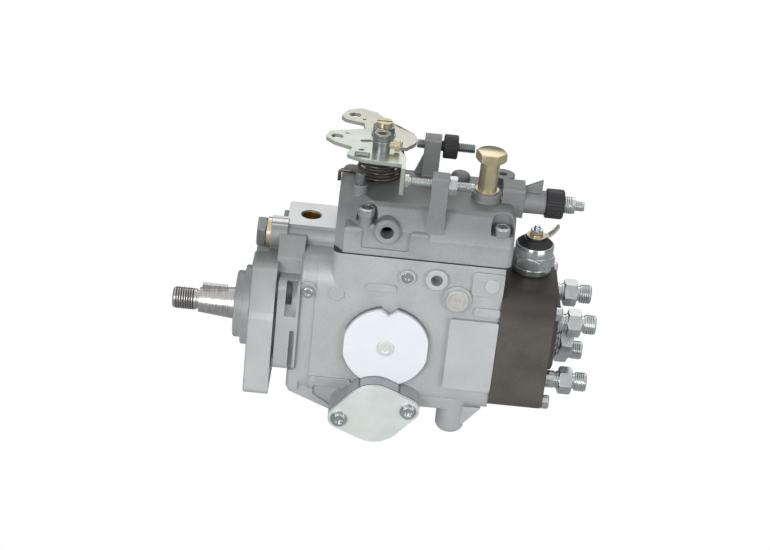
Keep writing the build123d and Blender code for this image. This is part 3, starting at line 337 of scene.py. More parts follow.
def lineGroup():
    # tool marks: fine lines, drawn out by the stretch vector
    group, given, end = newGroup("toolMarks", patternInputs | {"Stretch": "Vector"}, patternOutputs)
    drawn = vectorCalc(group, "MULTIPLY", given["Vector"], given["Stretch"])
    noise = addNode(group, "TexNoise", {
        "Vector": drawn, "Scale": given["Size"], "Detail": lines["detail"]}).outputs["Fac"]
    tone = ramped(group, noise, lines["dark"], lines["light"])
    connect(group, end, {
        "Color": mixed(group, "RGBA", tone, given["Dark"], given["Light"]),
        "Roughness": calc(group, "MULTIPLY_ADD", tone, given["Spread"], given["Rough"]), "Height": noise})
    return group


def planeGroup():
    # mask of the surfaces that face along Facing and lie beyond Offset on that line
    group, given, end = newGroup(
        "machinedFace",
        {"Vector": "Vector", "Normal": "Vector", "Facing": "Vector", "Offset": "Float", "Amount": "Float"},
        {"Mask": "Float"})
    aligned = vectorCalc(group, "DOT_PRODUCT", given["Normal"], given["Facing"])
    beyond = calc(group, "SUBTRACT", vectorCalc(group, "DOT_PRODUCT", given["Vector"], given["Facing"]),
                  given["Offset"])
    both = calc(group, "MULTIPLY", ramped(group, aligned, milling["tilted"], milling["square"]),
                ramped(group, beyond, -milling["fade"], 0.0))
    connect(group, end, {"Mask": calc(group, "MULTIPLY", both, given["Amount"])})
    return group


def edgeGroup():
    # the difference between the true and the rounded normal shows where an edge is worn
    group, given, end = newGroup(
        "edgeWear",
        {"Normal": "Vector", "Rounded": "Vector", "Color": "Color", "Worn": "Color", "Amount": "Float"},
        {"Color": "Color"})
    bent = ramped(group, vectorCalc(group, "DOT_PRODUCT", given["Normal"], given["Rounded"]),
                  rounding["none"], rounding["full"])
    share = calc(group, "MULTIPLY", bent, given["Amount"])
    connect(group, end, {"Color": mixed(group, "RGBA", share, given["Color"], given["Worn"])})
    return group


def shadeGroup():
    # painted shade: deepens a colour along a line through the piece, so that one side of it is darker
    group, given, end = newGroup(
        "paintedShade",
        {"Vector": "Vector", "Along": "Vector", "From": "Float", "To": "Float", "Tint": "Color",
         "Color": "Color"},
        {"Color": "Color"})
    along = vectorCalc(group, "DOT_PRODUCT", given["Vector"], given["Along"])
    share = ramped(group, along, given["From"], given["To"], curve="SMOOTHSTEP")
    connect(group, end, {"Color": mixed(group, "RGBA", share, given["Color"], given["Tint"], "MULTIPLY")})
    return group


def rimGroup():
    # painted shade: deepens the colour of a ring about a line along Y, where it stands out past Level
    # towards -Y, as on the side wall of a raised pad
    group, given, end = newGroup(
        "paintedRimShade",
        {"Vector": "Vector", "Centre": "Vector", "Inner": "Float", "Outer": "Float", "Level": "Float",
         "Tint": "Color", "Color": "Color"},
        {"Color": "Color"})
    away = vectorCalc(group, "SUBTRACT", given["Vector"], given["Centre"])
    reach = vectorCalc(group, "LENGTH", vectorCalc(group, "MULTIPLY", away, (1, 0, 1)))
    depth = addNode(group, "SeparateXYZ", {0: given["Vector"]}).outputs["Y"]
    mask = calc(group, "GREATER_THAN", reach, given["Inner"])
    mask = calc(group, "MULTIPLY", mask, calc(group, "LESS_THAN", reach, given["Outer"]))
    mask = calc(group, "MULTIPLY", mask, calc(group, "LESS_THAN", depth, given["Level"]))
    connect(group, end, {"Color": mixed(group, "RGBA", mask, given["Color"], given["Tint"], "MULTIPLY")})
    return group


castGrain = grainGroup()
toolMarks = lineGroup()
machinedFace = planeGroup()
edgeWear = edgeGroup()
paintedShade = shadeGroup()
paintedRimShade = rimGroup()


# materials

surface = {"bumpDepth": 0.0002, "wear": 0.5, "bevelSamples": 6}


def addGroup(tree, group, inputs):
    return addNode(tree, "Group", inputs, node_tree=group).outputs


def pattern(tree, coords, look):
    # the colour, roughness and height of a look
    inputs = {"Vector": coords["Object"], "Light": colour4(look["light"]), "Dark": colour4(look["dark"]),
              "Size": look["size"], "Rough": look["rough"], "Spread": look["spread"]}
    if "stretch" in look:
        outputs = addGroup(tree, toolMarks, inputs | {"Stretch": look["stretch"]})
    else:
        outputs = addGroup(tree, castGrain, inputs)
    return [outputs[key] for key in patternOutputs]


def shaded(tree, coords, look, colour):
    # painted shade: the look's shades darken along lines, and its rims darken rings about the pads
    for along, low, high, tint in look.get("shades", ()):
        colour = addGroup(tree, paintedShade, {
            "Vector": coords["Object"], "Color": colour, "Along": along, "From": low * mm,
            "To": high * mm, "Tint": colour4(tint)})["Color"]
    for centre, inner, outer, level, tint in look.get("rims", ()):
        colour = addGroup(tree, paintedRimShade, {
            "Vector": coords["Object"], "Color": colour, "Centre": [value * mm for value in centre],
            "Inner": inner * mm, "Outer": outer * mm, "Level": level * mm, "Tint": colour4(tint)})["Color"]
    return colour


def machinedOver(tree, coords, look, cast):
    # faces that a cutter has passed over are brighter and smoother than the cast skin
    mask = None
    for facing, offset, amount in look["cutFaces"]:
        face = addGroup(tree, machinedFace, {
            "Vector": coords["Object"], "Normal": coords["Normal"], "Facing": facing,
            "Offset": offset * mm, "Amount": amount})["Mask"]
        mask = face if mask is None else calc(tree, "MAXIMUM", mask, face)
    bright = pattern(tree, coords, finishes[look["machined"]])
    return [mixed(tree, kind, mask, under, over)
            for kind, under, over in zip(("RGBA", "FLOAT", "FLOAT"), cast, bright)]


def makeMaterial(name, look):
    material = bpy.data.materials.new(name)
    material.use_nodes = True
    tree = material.node_tree
    coords = addNode(tree, "TexCoord").outputs
    colour, rough, height = pattern(tree, coords, look)
    colour = shaded(tree, coords, look, colour)
    if "machined" in look:
        colour, rough, height = machinedOver(tree, coords, look, (colour, rough, height))
    bump = {"Strength": look["bump"], "Distance": surface["bumpDepth"], "Height": height}
    if "edge" in look:
        rounded = addNode(tree, "Bevel", {"Radius": look["edge"] * mm},
                          samples=surface["bevelSamples"]).outputs["Normal"]
        colour = addGroup(tree, edgeWear, {
            "Normal": addNode(tree, "NewGeometry").outputs["Normal"], "Rounded": rounded, "Color": colour,
            "Worn": colour4(look["worn"]), "Amount": surface["wear"]})["Color"]
        bump["Normal"] = rounded
    connect(tree, tree.nodes["Principled BSDF"], {
        "Base Color": colour, "Roughness": rough, "Metallic": look["metallic"],
        "Normal": addNode(tree, "Bump", bump).outputs["Normal"]})
    return material


# the looks, with lengths in millimetres: shades are painted shade (direction, from, to, tint),
# rims are painted shade (centre, inner radius, outer radius, level, tint), and cutFaces are (direction,
# offset, amount)
finishes = {
    # painted shade: darker towards the upper left, a dark ring round the type plate's pad and a lighter
    # darkening round the timing boss
    "castAlloy": {
        "light": (0.53, 0.545, 0.55), "dark": (0.42, 0.435, 0.44), "metallic": 0.3, "size": 900,
        "rough": 0.42, "spread": 0.12, "bump": 0.3, "edge": 0.7, "worn": (0.68, 0.69, 0.70),
        "machined": "milledAlloy", "shades": [((-0.75, 0, 0.66), -14, 30, (0.55, 0.56, 0.55))],
        "rims": [((85.2, 0, 0.9), 26.6, 27.8, -36.15, (0.38, 0.38, 0.40)),
                 ((82, 0, -39), 16.5, 40, -36.4, (0.86, 0.86, 0.87))],
        "cutFaces": [((0, 0, 1), 59.9, 1.0), ((0, -1, 0), 38.9, 0.25), ((-1, 0, 0), -0.6, 0.5),
                     ((1, 0, 0), 151.9, 0.5)]},
    # painted shade: darker towards the top
    "coverAlloy": {
        "light": (0.44, 0.452, 0.457), "dark": (0.34, 0.352, 0.357), "metallic": 0.35, "size": 900,
        "shades": [((0, 0, 1), 66, 84, (0.62, 0.62, 0.62))], "rough": 0.42, "spread": 0.12, "bump": 0.35,
        "edge": 0.9, "worn": (0.50, 0.51, 0.52)},
    "milledAlloy": {
        "light": (0.84, 0.85, 0.86), "dark": (0.74, 0.75, 0.76), "metallic": 0.3, "size": 420,
        "rough": 0.28, "spread": 0.10, "bump": 0.08},
    # painted shade: darker towards the top
    "headIron": {
        "light": (0.115, 0.104, 0.091), "dark": (0.066, 0.058, 0.050), "metallic": 0.15, "size": 1100,
        "rough": 0.48, "spread": 0.15, "bump": 0.3, "edge": 0.6, "worn": (0.17, 0.155, 0.14),
        "shades": [((0, 0, 1), 22, 42, (0.42, 0.40, 0.40))]},
    "groundSteel": {
        "light": (0.56, 0.555, 0.54), "dark": (0.38, 0.375, 0.365), "metallic": 0.9, "size": 300,
        "rough": 0.22, "spread": 0.15, "bump": 0.08, "stretch": (6.0, 0.5, 0.5), "edge": 0.3,
        "worn": (0.72, 0.71, 0.70)},
    "creamSteel": {
        "light": (0.72, 0.71, 0.66), "dark": (0.58, 0.57, 0.53), "metallic": 0.5, "size": 220,
        "rough": 0.28, "spread": 0.12, "bump": 0.06, "edge": 0.3, "worn": (0.85, 0.84, 0.80)},
    "darkSteel": {
        "light": (0.16, 0.155, 0.15), "dark": (0.085, 0.08, 0.078), "metallic": 0.85, "size": 700,
        "rough": 0.35, "spread": 0.15, "bump": 0.15, "edge": 0.3, "worn": (0.34, 0.33, 0.32)},
    "brightZinc": {
        "light": (0.64, 0.67, 0.66), "dark": (0.44, 0.48, 0.48), "metallic": 0.95, "size": 260,
        "rough": 0.18, "spread": 0.12, "bump": 0.05, "edge": 0.3, "worn": (0.82, 0.84, 0.83)},
    "darkZinc": {
        "light": (0.34, 0.36, 0.36), "dark": (0.20, 0.22, 0.22), "metallic": 0.9, "size": 260,
        "rough": 0.26, "spread": 0.12, "bump": 0.06, "edge": 0.3, "worn": (0.58, 0.60, 0.60)},
    "paleZinc": {
        "light": (0.78, 0.83, 0.80), "dark": (0.66, 0.72, 0.69), "metallic": 0.35, "size": 160,
        "rough": 0.26, "spread": 0.12, "bump": 0.04, "edge": 0.3, "worn": (0.90, 0.91, 0.90)},
    "leverZinc": {
        "light": (0.62, 0.66, 0.58), "dark": (0.44, 0.49, 0.44), "metallic": 0.8, "size": 120,
        "rough": 0.22, "spread": 0.14, "bump": 0.05, "edge": 0.35, "worn": (0.80, 0.82, 0.76)},
    "leverPink": {
        "light": (0.66, 0.62, 0.55), "dark": (0.48, 0.48, 0.44), "metallic": 0.8, "size": 120,
        "rough": 0.22, "spread": 0.14, "bump": 0.05, "edge": 0.35, "worn": (0.80, 0.77, 0.70)},
    "goldZinc": {
        "light": (0.68, 0.61, 0.42), "dark": (0.50, 0.43, 0.26), "metallic": 0.75, "size": 200,
        "rough": 0.20, "spread": 0.12, "bump": 0.05, "edge": 0.35, "worn": (0.86, 0.80, 0.60)},
    "brassYellow": {
        "light": (0.70, 0.50, 0.20), "dark": (0.48, 0.33, 0.12), "metallic": 0.95, "size": 250,
        "rough": 0.25, "spread": 0.12, "bump": 0.06, "edge": 0.2, "worn": (0.86, 0.70, 0.38)},
    # light alloy, with painted reflection of the lamps that makes its colour near white
    "plateAlloy": {
        "light": (0.80, 0.84, 0.87), "dark": (0.76, 0.805, 0.84), "metallic": 0.1, "size": 90,
        "rough": 0.24, "spread": 0.05, "bump": 0.01, "edge": 0.2, "worn": (0.92, 0.93, 0.94)},
    "blackPlastic": {
        "light": (0.020, 0.020, 0.023), "dark": (0.012, 0.012, 0.013), "metallic": 0.0, "size": 1500,
        "rough": 0.38, "spread": 0.12, "bump": 0.1, "edge": 0.3, "worn": (0.05, 0.05, 0.055)},
    "gasketSheet": {
        "light": (0.045, 0.044, 0.043), "dark": (0.02, 0.02, 0.019), "metallic": 0.0, "size": 1500,
        "rough": 0.65, "spread": 0.15, "bump": 0.2},
    "springWire": {
        "light": (0.20, 0.17, 0.12), "dark": (0.06, 0.055, 0.05), "metallic": 0.85, "size": 500,
        "rough": 0.24, "spread": 0.12, "bump": 0.08},
}
materials = {name: makeMaterial(name, look) for name, look in finishes.items()}

slotFinish = {
    "cast_alloy": "castAlloy", "cover_alloy": "coverAlloy", "head_iron": "headIron", "steel": "groundSteel",
    "dark_steel": "darkSteel", "zinc": "brightZinc", "lever_zinc": "leverZinc", "lever_pink": "leverPink",
    "gold_zinc": "goldZinc", "brass": "brassYellow", "plate_alloy": "plateAlloy",
    "black_plastic": "blackPlastic", "gasket": "gasketSheet", "spring_steel": "springWire",
}
# CAD nodes whose finish differs from the usual one of their slot
nodeFinish = {
    "timing_covers": "paleZinc", "governor_shaft": "darkZinc", "max_speed_screw": "darkZinc",
    "sealing_washers": "goldZinc", "terminal_tag": "leverPink", "inlet_strainer": "brassYellow",
}
nodeSlot = {part["node"]: part["material_slot"] for part in frame["record"]["subparts"]}
for nodeName, obj in nodes.items():
    finish = nodeFinish.get(nodeName, slotFinish[nodeSlot[nodeName]])
    for place in obj.material_slots:
        place.material = materials[finish]
print("materials on CAD nodes")


def finished(obj, finish, body="pump"):
    obj.data.materials.clear()
    obj.data.materials.append(materials[finish])
    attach(obj, body)


# threads

threads = {
    "shaftThread": {"core": 6.6, "place": (-49.4, 0, 0), "length": 14.5, "pitch": 1.5, "depth": 0.35,
                    "finish": "darkSteel", "slot": "steel", "body": "drive_shaft"},
    "idleThread": {"core": 2.5, "place": (88.4, -29, 108), "length": 38.4, "pitch": 1.5, "depth": 0.55,
                   "finish": "brightZinc", "slot": "zinc", "body": "pump"},
    "maxThread": {"core": 2.5, "place": (93.0, 25, 110), "length": 35.0, "pitch": 1.25, "depth": 0.4,
                  "finish": "darkZinc", "slot": "zinc", "body": "pump"},
    "loadThread": {"core": 5.0, "place": (183.5, 0, 90), "length": 7.0, "pitch": 1.2, "depth": 0.3,
                   "finish": "brightZinc", "slot": "zinc", "body": "pump"},
    "loadTip": {"core": 2.8, "place": (190.8, 0, 90), "length": 5.4, "pitch": 1.0, "depth": 0.25,
                "finish": "brightZinc", "slot": "zinc", "body": "pump"},
}
for name, thread in threads.items():
    coil = placed(threadCoil(name, thread), thread["place"], alongX)
    finished(coil, thread["finish"], thread["body"])
print("threads cut")


# screws with a star socket, one set for each CAD node

headForm = {"edge": 0.14, "root": 0.96, "rootHeight": 0.3, "flangeHeight": 0.7, "flangeTop": 0.95,
            "shankTop": -0.02}
timing = {"centre": (82, -39), "arm": (20.83, 4.92), "face": 53.5}
headBolt = {"face": 185.5, "offset": 31}
screwSets = {
    "coverScrewHeads": {
        "node": "cover_screws", "radius": 4.9, "height": 5.6, "socket": 3.6, "depth": 3.4, "shank": 2.6,
        "reach": 20,
        "places": [((65.4, -30.5, 84), alongZ), ((147, -29.5, 79.5), alongZ), ((65.4, 30.2, 78), alongZ),
                   ((147, 30.2, 79.5), alongZ)]},
    "timingScrewHeads": {
        "node": "timing_screws", "radius": 4.3, "height": 3.5, "socket": 2.6, "depth": 2.2, "shank": 2.1,
        "reach": 10, "flange": 5.2,
        "places": [((timing["centre"][0] + end * timing["arm"][0], side * timing["face"],
                     timing["centre"][1] + end * timing["arm"][1]), (0, side, 0))
                   for end in (1, -1) for side in (-1, 1)]},
    "headScrewHeads": {
        "node": "head_screws", "radius": 4.4, "height": 4.5, "socket": 2.6, "depth": 2.4, "shank": 2.6,
        "reach": 12,
        "places": [((headBolt["face"], y * headBolt["offset"], z * headBolt["offset"]), alongX)
                   for y in (-1, 1) for z in (-1, 1)]},
}


def screwHead(name, kit):
    radius, height = kit["radius"], kit["height"]
    edge = height * headForm["edge"]
    steps = [(-kit["reach"], kit["shank"]), (headForm["shankTop"], kit["shank"])]
    if "flange" in kit:
        steps += [(0, kit["flange"]), (headForm["flangeHeight"], kit["flange"]),
                  (headForm["flangeTop"], radius)]
    else:
        steps += [(0, radius * headForm["root"]), (headForm["rootHeight"], radius)]
    steps += [(height - edge, radius), (height, radius - edge)]
    head = turned(name, steps)
    cut(head, starCutter("socketCutter", kit["socket"], height - kit["depth"], height + 1))
    return head


for name, kit in screwSets.items():
    heads = repeated(screwHead(name, kit), name, kit["places"])
    smooth(heads)
    finished(heads, "brightZinc")
    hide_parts(kit["node"])
print("screw heads made")


# outlet unions

union = {
    "face": 180, "offset": 20.4, "flats": 15.0, "hex": (15.0, 23.3), "threadStart": 25.5,
    "stem": [(-8, 5.45), (12.2, 5.45), (12.2, 4.9), (13.6, 4.9), (13.6, 5.6), (16, 5.6)],
    "neck": [(22.8, 4.7), (25.3, 4.7), (25.3, 5.5), (25.6, 5.75), (31.9, 5.75), (32.5, 5.2), (32.5, 3.7),
             (30.0, 1.7), (20.0, 1.7)],
    "thread": {"core": 5.75, "length": 6.8, "pitch": 1.25, "depth": 0.4},
}


def outletUnion(name):
    stem = turned(name + "Stem", union["stem"])
    middle = hexagon(name + "Hex", union["flats"], *union["hex"])
    neck = turned(name + "Neck", union["neck"])
    coil = placed(threadCoil(name + "Thread", union["thread"]), (0, 0, union["threadStart"]))
    return joined([stem, middle, neck, coil], name)


unionPlaces = [((union["face"], y * union["offset"], z * union["offset"]), alongX)
               for y in (-1, 1) for z in (-1, 1)]
unions = repeated(outletUnion("outletUnions"), "outletUnions", unionPlaces)
smooth(unions)
finished(unions, "brightZinc")
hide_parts("valve_holders")
print("outlet unions made")


# hexagon pieces, each a turned length and a six-sided one; a hole is (radius, low end, high end)

stackSegments = 44
stacks = {
    "overflowBolt": {
        "node": "overflow_bolt", "finish": "goldZinc", "slot": "gold_zinc", "body": "pump",
        "place": (136.5, -4, 96), "axis": alongZ,
        "turned": [(-8, 4.0), (1.48, 4.0), (1.5, 5.9), (20.4, 5.9)], "hex": (16.5, 20.0, 26.0, 20)},
    "shaftLockNut": {
        "node": "governor_lock_nut", "finish": "darkZinc", "slot": "zinc", "body": "pump",
        "place": (0, 0, 51.75), "axis": alongX,
        "turned": [(5.2, 8.3), (6.0, 8.3)], "hex": (17.0, 0, 5.6, 30), "hole": (4.98, -10, 30)},
    "idleNut": {
        "node": "idle_lock_nut", "finish": "brightZinc", "slot": "zinc", "body": "pump",
        "place": (112, -29, 108), "axis": alongX,
        "turned": [(0, 4.9), (0.4, 4.9)], "hex": (10.0, 0.1, 5.0, 0), "hole": (2.5, -10, 30)},
    "barrelPlug": {
        "node": "centre_plug", "finish": "brightZinc", "slot": "zinc", "body": "pump",
        "place": (180.4, 0, 0), "axis": alongX,
        "turned": [(0, 8.95), (12.4, 8.95), (12.4, 10.6), (13.7, 10.6)], "hex": (24.0, 13.6, 21.9, 0),
        "hole": (4.2, 20.0, 40)},
    "leverNut": {
        "node": "lever_nut", "finish": "darkZinc", "slot": "zinc", "body": "throttle",
        "place": (71, 14, 118), "axis": alongZ,
        "turned": [(0, 7.4), (1.0, 7.4), (1.1, 7.1), (1.1, 6.4), (1.5, 6.4)], "hex": (12.0, 1.3, 6.0, 12),
        "hole": (5.0, -10, 30)},
}
for name, stack in stacks.items():
    pieces = [turned(name + "Round", stack["turned"], stackSegments), hexagon(name + "Hex", *stack["hex"])]
    if "hole" in stack:
        radius, low, high = stack["hole"]
        for piece in pieces:
            cut(piece, turned("holeCutter", [(low, radius), (high, radius)]))
    body = placed(joined(pieces, name), stack["place"], stack["axis"])
    smooth(body)
    finished(body, stack["finish"], stack["body"])
    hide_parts(stack["node"])
print("hexagon pieces made")


# turned pieces: each shape has its steps and the places that it stands at

rounds = {
    "plateRivet": {
        "node": "plate_rivet", "finish": "paleZinc", "slot": "steel", "body": "pump",
        "shapes": [([(-5, 2.9), (0, 2.9), (0, 5.4), (0.5, 5.4), (1.0, 5.0), (1.2, 4.3), (1.2, 2.6),
                     (0.9, 2.2)], [((85.2, -40.5, 0.9), (0, -1, 0))])]},
    "pivotPlugs": {
        "node": "pivot_screws", "finish": "creamSteel", "slot": "steel", "body": "pump",
        "shapes": [([(-26, 3.98), (-9.2, 3.98), (-9.0, 5.95), (1.9, 5.95), (2.0, 7.0), (3.6, 7.0),
                     (4.0, 6.6), (4.0, 5.1), (3.2, 4.8), (3.2, 4.2), (3.8, 3.9), (3.8, 1.8), (3.2, 1.5)],
                    [((125, side * 36, 37.3), (0, side, 0)) for side in (-1, 1)])]},
    "smallScrews": {
        "node": "body_plugs", "finish": "brightZinc", "slot": "zinc", "body": "pump",
        "shapes": [([(0, 2.8), (3.0, 2.8), (3.1, 3.4), (5.2, 3.4), (5.5, 3.0), (5.5, 1.6), (4.5, 1.4)],
                    [((35.1, -36, 33.7), (0, -1, 0))]),
                   ([(0.5, 3.55), (1.6, 3.55), (2.0, 3.1), (2.0, 1.6), (1.0, 1.4)],
                    [((93.8, -36, 49.0), (0, -1, 0))])]},
    "leverBush": {
        "node": "lever_bush", "finish": "darkZinc", "slot": "zinc", "body": "throttle",
        "shapes": [([(0, 5.25), (6.6, 5.25), (6.8, 5.0), (7.2, 5.0), (7.4, 5.25), (11.1, 5.25),
                     (11.5, 4.9), (11.5, 3.9), (11.1, 3.5), (1.2, 3.4)], [((70.3, -11, 118), alongZ)])]},
    "anchorPin": {
        "node": "spring_anchor", "finish": "darkZinc", "slot": "zinc", "body": "pump",
        "shapes": [([(-4, 2.75), (4.5, 2.75), (4.5, 3.1), (11.4, 3.1), (12, 2.6)],
                    [((60, -11, 91), alongZ)])]},
    "grubScrew": {
        "finish": "goldZinc", "slot": "gold_zinc", "body": "throttle", "segments": 28,
        "shapes": [([(0, 2.0), (3.6, 2.0), (3.6, 3.4), (6.4, 3.4), (6.9, 3.0), (6.9, 1.4), (5.9, 1.2)],
                    [((74.6, -11, 122.2), alongX)])]},
    "bushLining": {
        "finish": "goldZinc", "slot": "gold_zinc", "body": "throttle",
        "shapes": [([(0.2, 3.38), (11.2, 3.38), (11.3, 3.3), (11.3, 2.9), (1.5, 2.8)],
                    [((70.3, -11, 118), alongZ)])]},
}
for name, kit in rounds.items():
    parts = [repeated(turned(f"{name}{number}", steps, kit.get("segments", 40)), f"{name}{number}", places)
             for number, (steps, places) in enumerate(kit["shapes"])]
    piece = joined(parts, name)
    smooth(piece)
    finished(piece, kit["finish"], kit["body"])
    if "node" in kit:
        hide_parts(kit["node"])
print("turned pieces made")


# ribbed collars on the two adjusting screws

rib = {"margin": 0.22, "rise": 0.3, "segments": 30, "smooth": 25}
collars = {
    "smallCollar": {"steps": [(0, 3.2), (1.6, 3.2), (1.6, 6.8), (2.0, 7.2), (10.0, 7.2), (10.4, 6.8)],
                    "band": (2.2, 9.8), "bore": 2.5, "place": (107, 25, 110)},
    "largeCollar": {"steps": [(0, 8.4), (0.4, 8.8), (10.4, 8.8), (11.0, 8.2)],
                    "band": (0.6, 10.2), "bore": 5.0, "place": (173, 0, 90)},
}


def ribbedCollar(name, kit):
    collar = turned(name, kit["steps"], rib["segments"])
    low, high = (level * mm for level in kit["band"])
    editFaces(collar, lambda centre, normal: abs(normal.z) < 0.1 and low < centre.z < high)
    bpy.ops.mesh.inset(thickness=rib["margin"] * mm, depth=rib["rise"] * mm, use_individual=True)
    leaveEdit()
    cut(collar, turned(name + "Bore", [(-5, kit["bore"]), (30, kit["bore"])]))
    return placed(collar, kit["place"], alongX)


collarPair = joined([ribbedCollar(name, kit) for name, kit in collars.items()], "adjusterCollars")
smooth(collarPair, rib["smooth"])
finished(collarPair, "blackPlastic")
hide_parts("tamper_collars")
print("collars made")


# fuel stop solenoid and its terminal

solenoid = {
    "base": (170.5, 0, 44.0), "top": (170.5, 0, 63.0),
    "can": [(-22, 8.9), (0, 8.9), (0, 11.2), (1.0, 12.0), (4.2, 12.0), (4.9, 11.4), (12.0, 11.4),
            (12.2, 11.9), (18.0, 11.9), (18.7, 11.5), (19.0, 10.8), (19.0, 10.0)],
    "flats": (24.0, 4.8, 12.3, 12),
    "cap": [(-0.6, 10.9), (0.3, 10.9), (0.8, 10.4), (1.6, 9.2), (2.9, 7.8), (3.4, 7.2), (3.4, 6.2),
            (4.5, 6.0)],
    "washers": [(4.45, 5.4), (4.95, 5.4), (4.95, 5.0), (5.5, 5.0), (5.5, 4.4), (6.0, 4.2)],
    "post": [(0, 1.9), (8.6, 1.9), (10.8, 1.9), (11.4, 1.4)], "nut": (7.0, 6.0, 9.0, 8),
    "thread": {"core": 1.85, "length": 2.4, "pitch": 0.7, "depth": 0.22}, "threadStart": 8.9,
}
can = turned("solenoidRound", solenoid["can"], 56)
flats = hexagon("solenoidHex", *solenoid["flats"])
body = placed(joined([can, flats], "solenoidBody"), solenoid["base"])
smooth(body)
finished(body, "brightZinc")
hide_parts("solenoid_body")
cap = placed(turned("solenoidCap", solenoid["cap"], 48), solenoid["top"])
smooth(cap, 35)
finished(cap, "blackPlastic")
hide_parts("solenoid_insulator")
washers = placed(turned("terminalWashers", solenoid["washers"]), solenoid["top"])
smooth(washers)
finished(washers, "brassYellow")
post = turned("terminalPost", solenoid["post"], 28)
nut = hexagon("terminalHex", *solenoid["nut"])
coil = placed(threadCoil("postThread", solenoid["thread"]), (0, 0, solenoid["threadStart"]))
stud = placed(joined([post, nut, coil], "terminalStud"), solenoid["top"])
smooth(stud)
finished(stud, "brightZinc")
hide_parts("terminal_stud")
print("solenoid made")


# throttle spring: a leg over the deck with its hook, the coils, and a leg up towards the lever

spring = {"centre": (71, 14), "radius": 13.0, "wire": 1.15, "low": 92.15, "pitch": 4.1, "turns": 4.5,
          "steps": 20, "hookX": 46.75, "hookDrop": 7, "bend": 1.2, "legGap": 3, "topZ": 112.6,
          "resolution": 3, "smooth": 50}


def springPath():
    x, y = spring["centre"]
    low, bend, hookX, radius = (spring[key] for key in ("low", "bend", "hookX", "radius"))
    points = [(hookX, y, low - spring["hookDrop"]), (hookX, y, low - bend), (hookX + bend, y, low),
              (x - radius - spring["legGap"], y, low)]
    for step in range(1, int(spring["turns"] * spring["steps"]) + 1):
        share = step / spring["steps"]
        angle = math.pi + math.tau * share
        points.append((x + radius * math.cos(angle), y + radius * math.sin(angle),
                       low + spring["pitch"] * share))
    points.append((x + radius, y, spring["topZ"]))
    return points


curve = bpy.data.curves.new("throttleSpring", "CURVE")
curve.dimensions = "3D"
curve.bevel_depth = spring["wire"] * mm
curve.bevel_resolution = spring["resolution"]
curve.use_fill_caps = True
path = springPath()
line = curve.splines.new("POLY")
line.points.add(len(path) - 1)
for point, place in zip(line.points, path):
    point.co = (*(Vector(place) * mm), 1)
wire = bpy.data.objects.new("throttleSpring", curve)
bpy.context.collection.objects.link(wire)
makeActive(wire)
bpy.ops.object.convert(target="MESH")
wire = named("throttleSpring")
smooth(wire, spring["smooth"])
finished(wire, "springWire")
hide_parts("return_spring")
print("spring wound")


# levers: the plates keep their outline and gain a rounded lobe, small holes, chamfered edges and a clip

leverPlates = {
    "controlLever": {"node": "control_lever", "finish": "leverZinc", "slot": "lever_zinc",
                     "hole": {"place": (49.3, 11.0, 118.0), "half": 1.6, "width": 0.8}},
    "upperLever": {"node": "upper_lever", "finish": "leverPink", "slot": "lever_pink",
                   "hole": {"place": (58.5, 41.5, 115.5), "half": 1.1, "width": 1.1},
                   "lobe": {"place": (75.9, 17.4, 113.06), "radius": 15.9, "height": 2.48}},
}
clip = {"size": (9.0, 4.4, 1.3), "place": (59.5, -20.3, 118.6), "margin": 0.9, "depth": 0.7}
edging = {"plate": 0.3, "clip": 0.2, "corner": 50, "smooth": 25}
weld = {"distance": 0.01, "angle": 1}


def edged(obj, width):
    applyModifier(obj, "BEVEL", width=width * mm, segments=1, limit_method="ANGLE",
                  angle_limit=math.radians(edging["corner"]))
    smooth(obj, edging["smooth"])


def leverPlate(name, plan):
    plate = copied(nodes[plan["node"]], name)
    editAll(plate)
    bpy.ops.mesh.remove_doubles(threshold=weld["distance"] * mm)
    bpy.ops.mesh.normals_make_consistent(inside=False)
    bpy.ops.mesh.dissolve_limited(angle_limit=math.radians(weld["angle"]))
    leaveEdit()
    if "lobe" in plan:
        lobe = plan["lobe"]
        disc = turned("lobeDisc", [(0, lobe["radius"]), (lobe["height"], lobe["radius"])], 56)
        cut(plate, placed(disc, lobe["place"]), "UNION")
    hole = plan["hole"]
    drill = turned("leverHole", [(-4, hole["width"]), (1, hole["width"])], 20)
    editAll(drill)
    bpy.ops.transform.resize(value=(hole["half"] / hole["width"], 1, 1), center_override=(0, 0, 0))
    leaveEdit()
    cut(plate, placed(drill, hole["place"]))
    edged(plate, edging["plate"])
    return plate


def leverClip():
    bpy.ops.mesh.primitive_cube_add(size=1.0, location=(0, 0, 0))
    latch = named("leverClip")
    editAll(latch)
    bpy.ops.transform.resize(value=[side * mm for side in clip["size"]], center_override=(0, 0, 0))
    leaveEdit()
    editFaces(latch, lambda centre, normal: normal.z > 0.9)
    bpy.ops.mesh.inset(thickness=clip["margin"] * mm, depth=-clip["depth"] * mm)
    leaveEdit()
    placed(latch, clip["place"])
    edged(latch, edging["clip"])
    return latch


for name, plan in leverPlates.items():
    plate = leverPlate(name, plan)
    finished(plate, plan["finish"], "throttle")
    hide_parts(plan["node"])
finished(leverClip(), "darkZinc", "throttle")
print("levers edged")


# stage, light and camera

studio = {"floorSize": 8.0, "floorTone": 0.86, "floorRough": 0.9, "glossyFloor": (0.42, 0.43, 0.44),
          "ambient": 0.36, "horizon": 0.10, "zenith": 0.95, "riseFrom": 0.05, "riseTo": 0.75,
          "target": (0.08, 0.0, 0.02)}
white = (1, 1, 1, 1)
lamps = {
    "keyLamp": {"place": (-0.55, -1.25, 0.50), "size": 0.8, "power": 11.4},
    "fillLamp": {"place": (0.9, -1.0, 0.22), "size": 0.8, "power": 6.4},
    "backLamp": {"place": (0.2, 1.1, 1.0), "size": 0.9, "power": 3},
}
eye = {"azimuth": -1.0, "elevation": 27.0, "roll": 6.2, "distance": 1.132, "right": 0.08333,
       "up": 0.01862, "lens": 84.16, "sensor": 36.0, "near": 0.01}


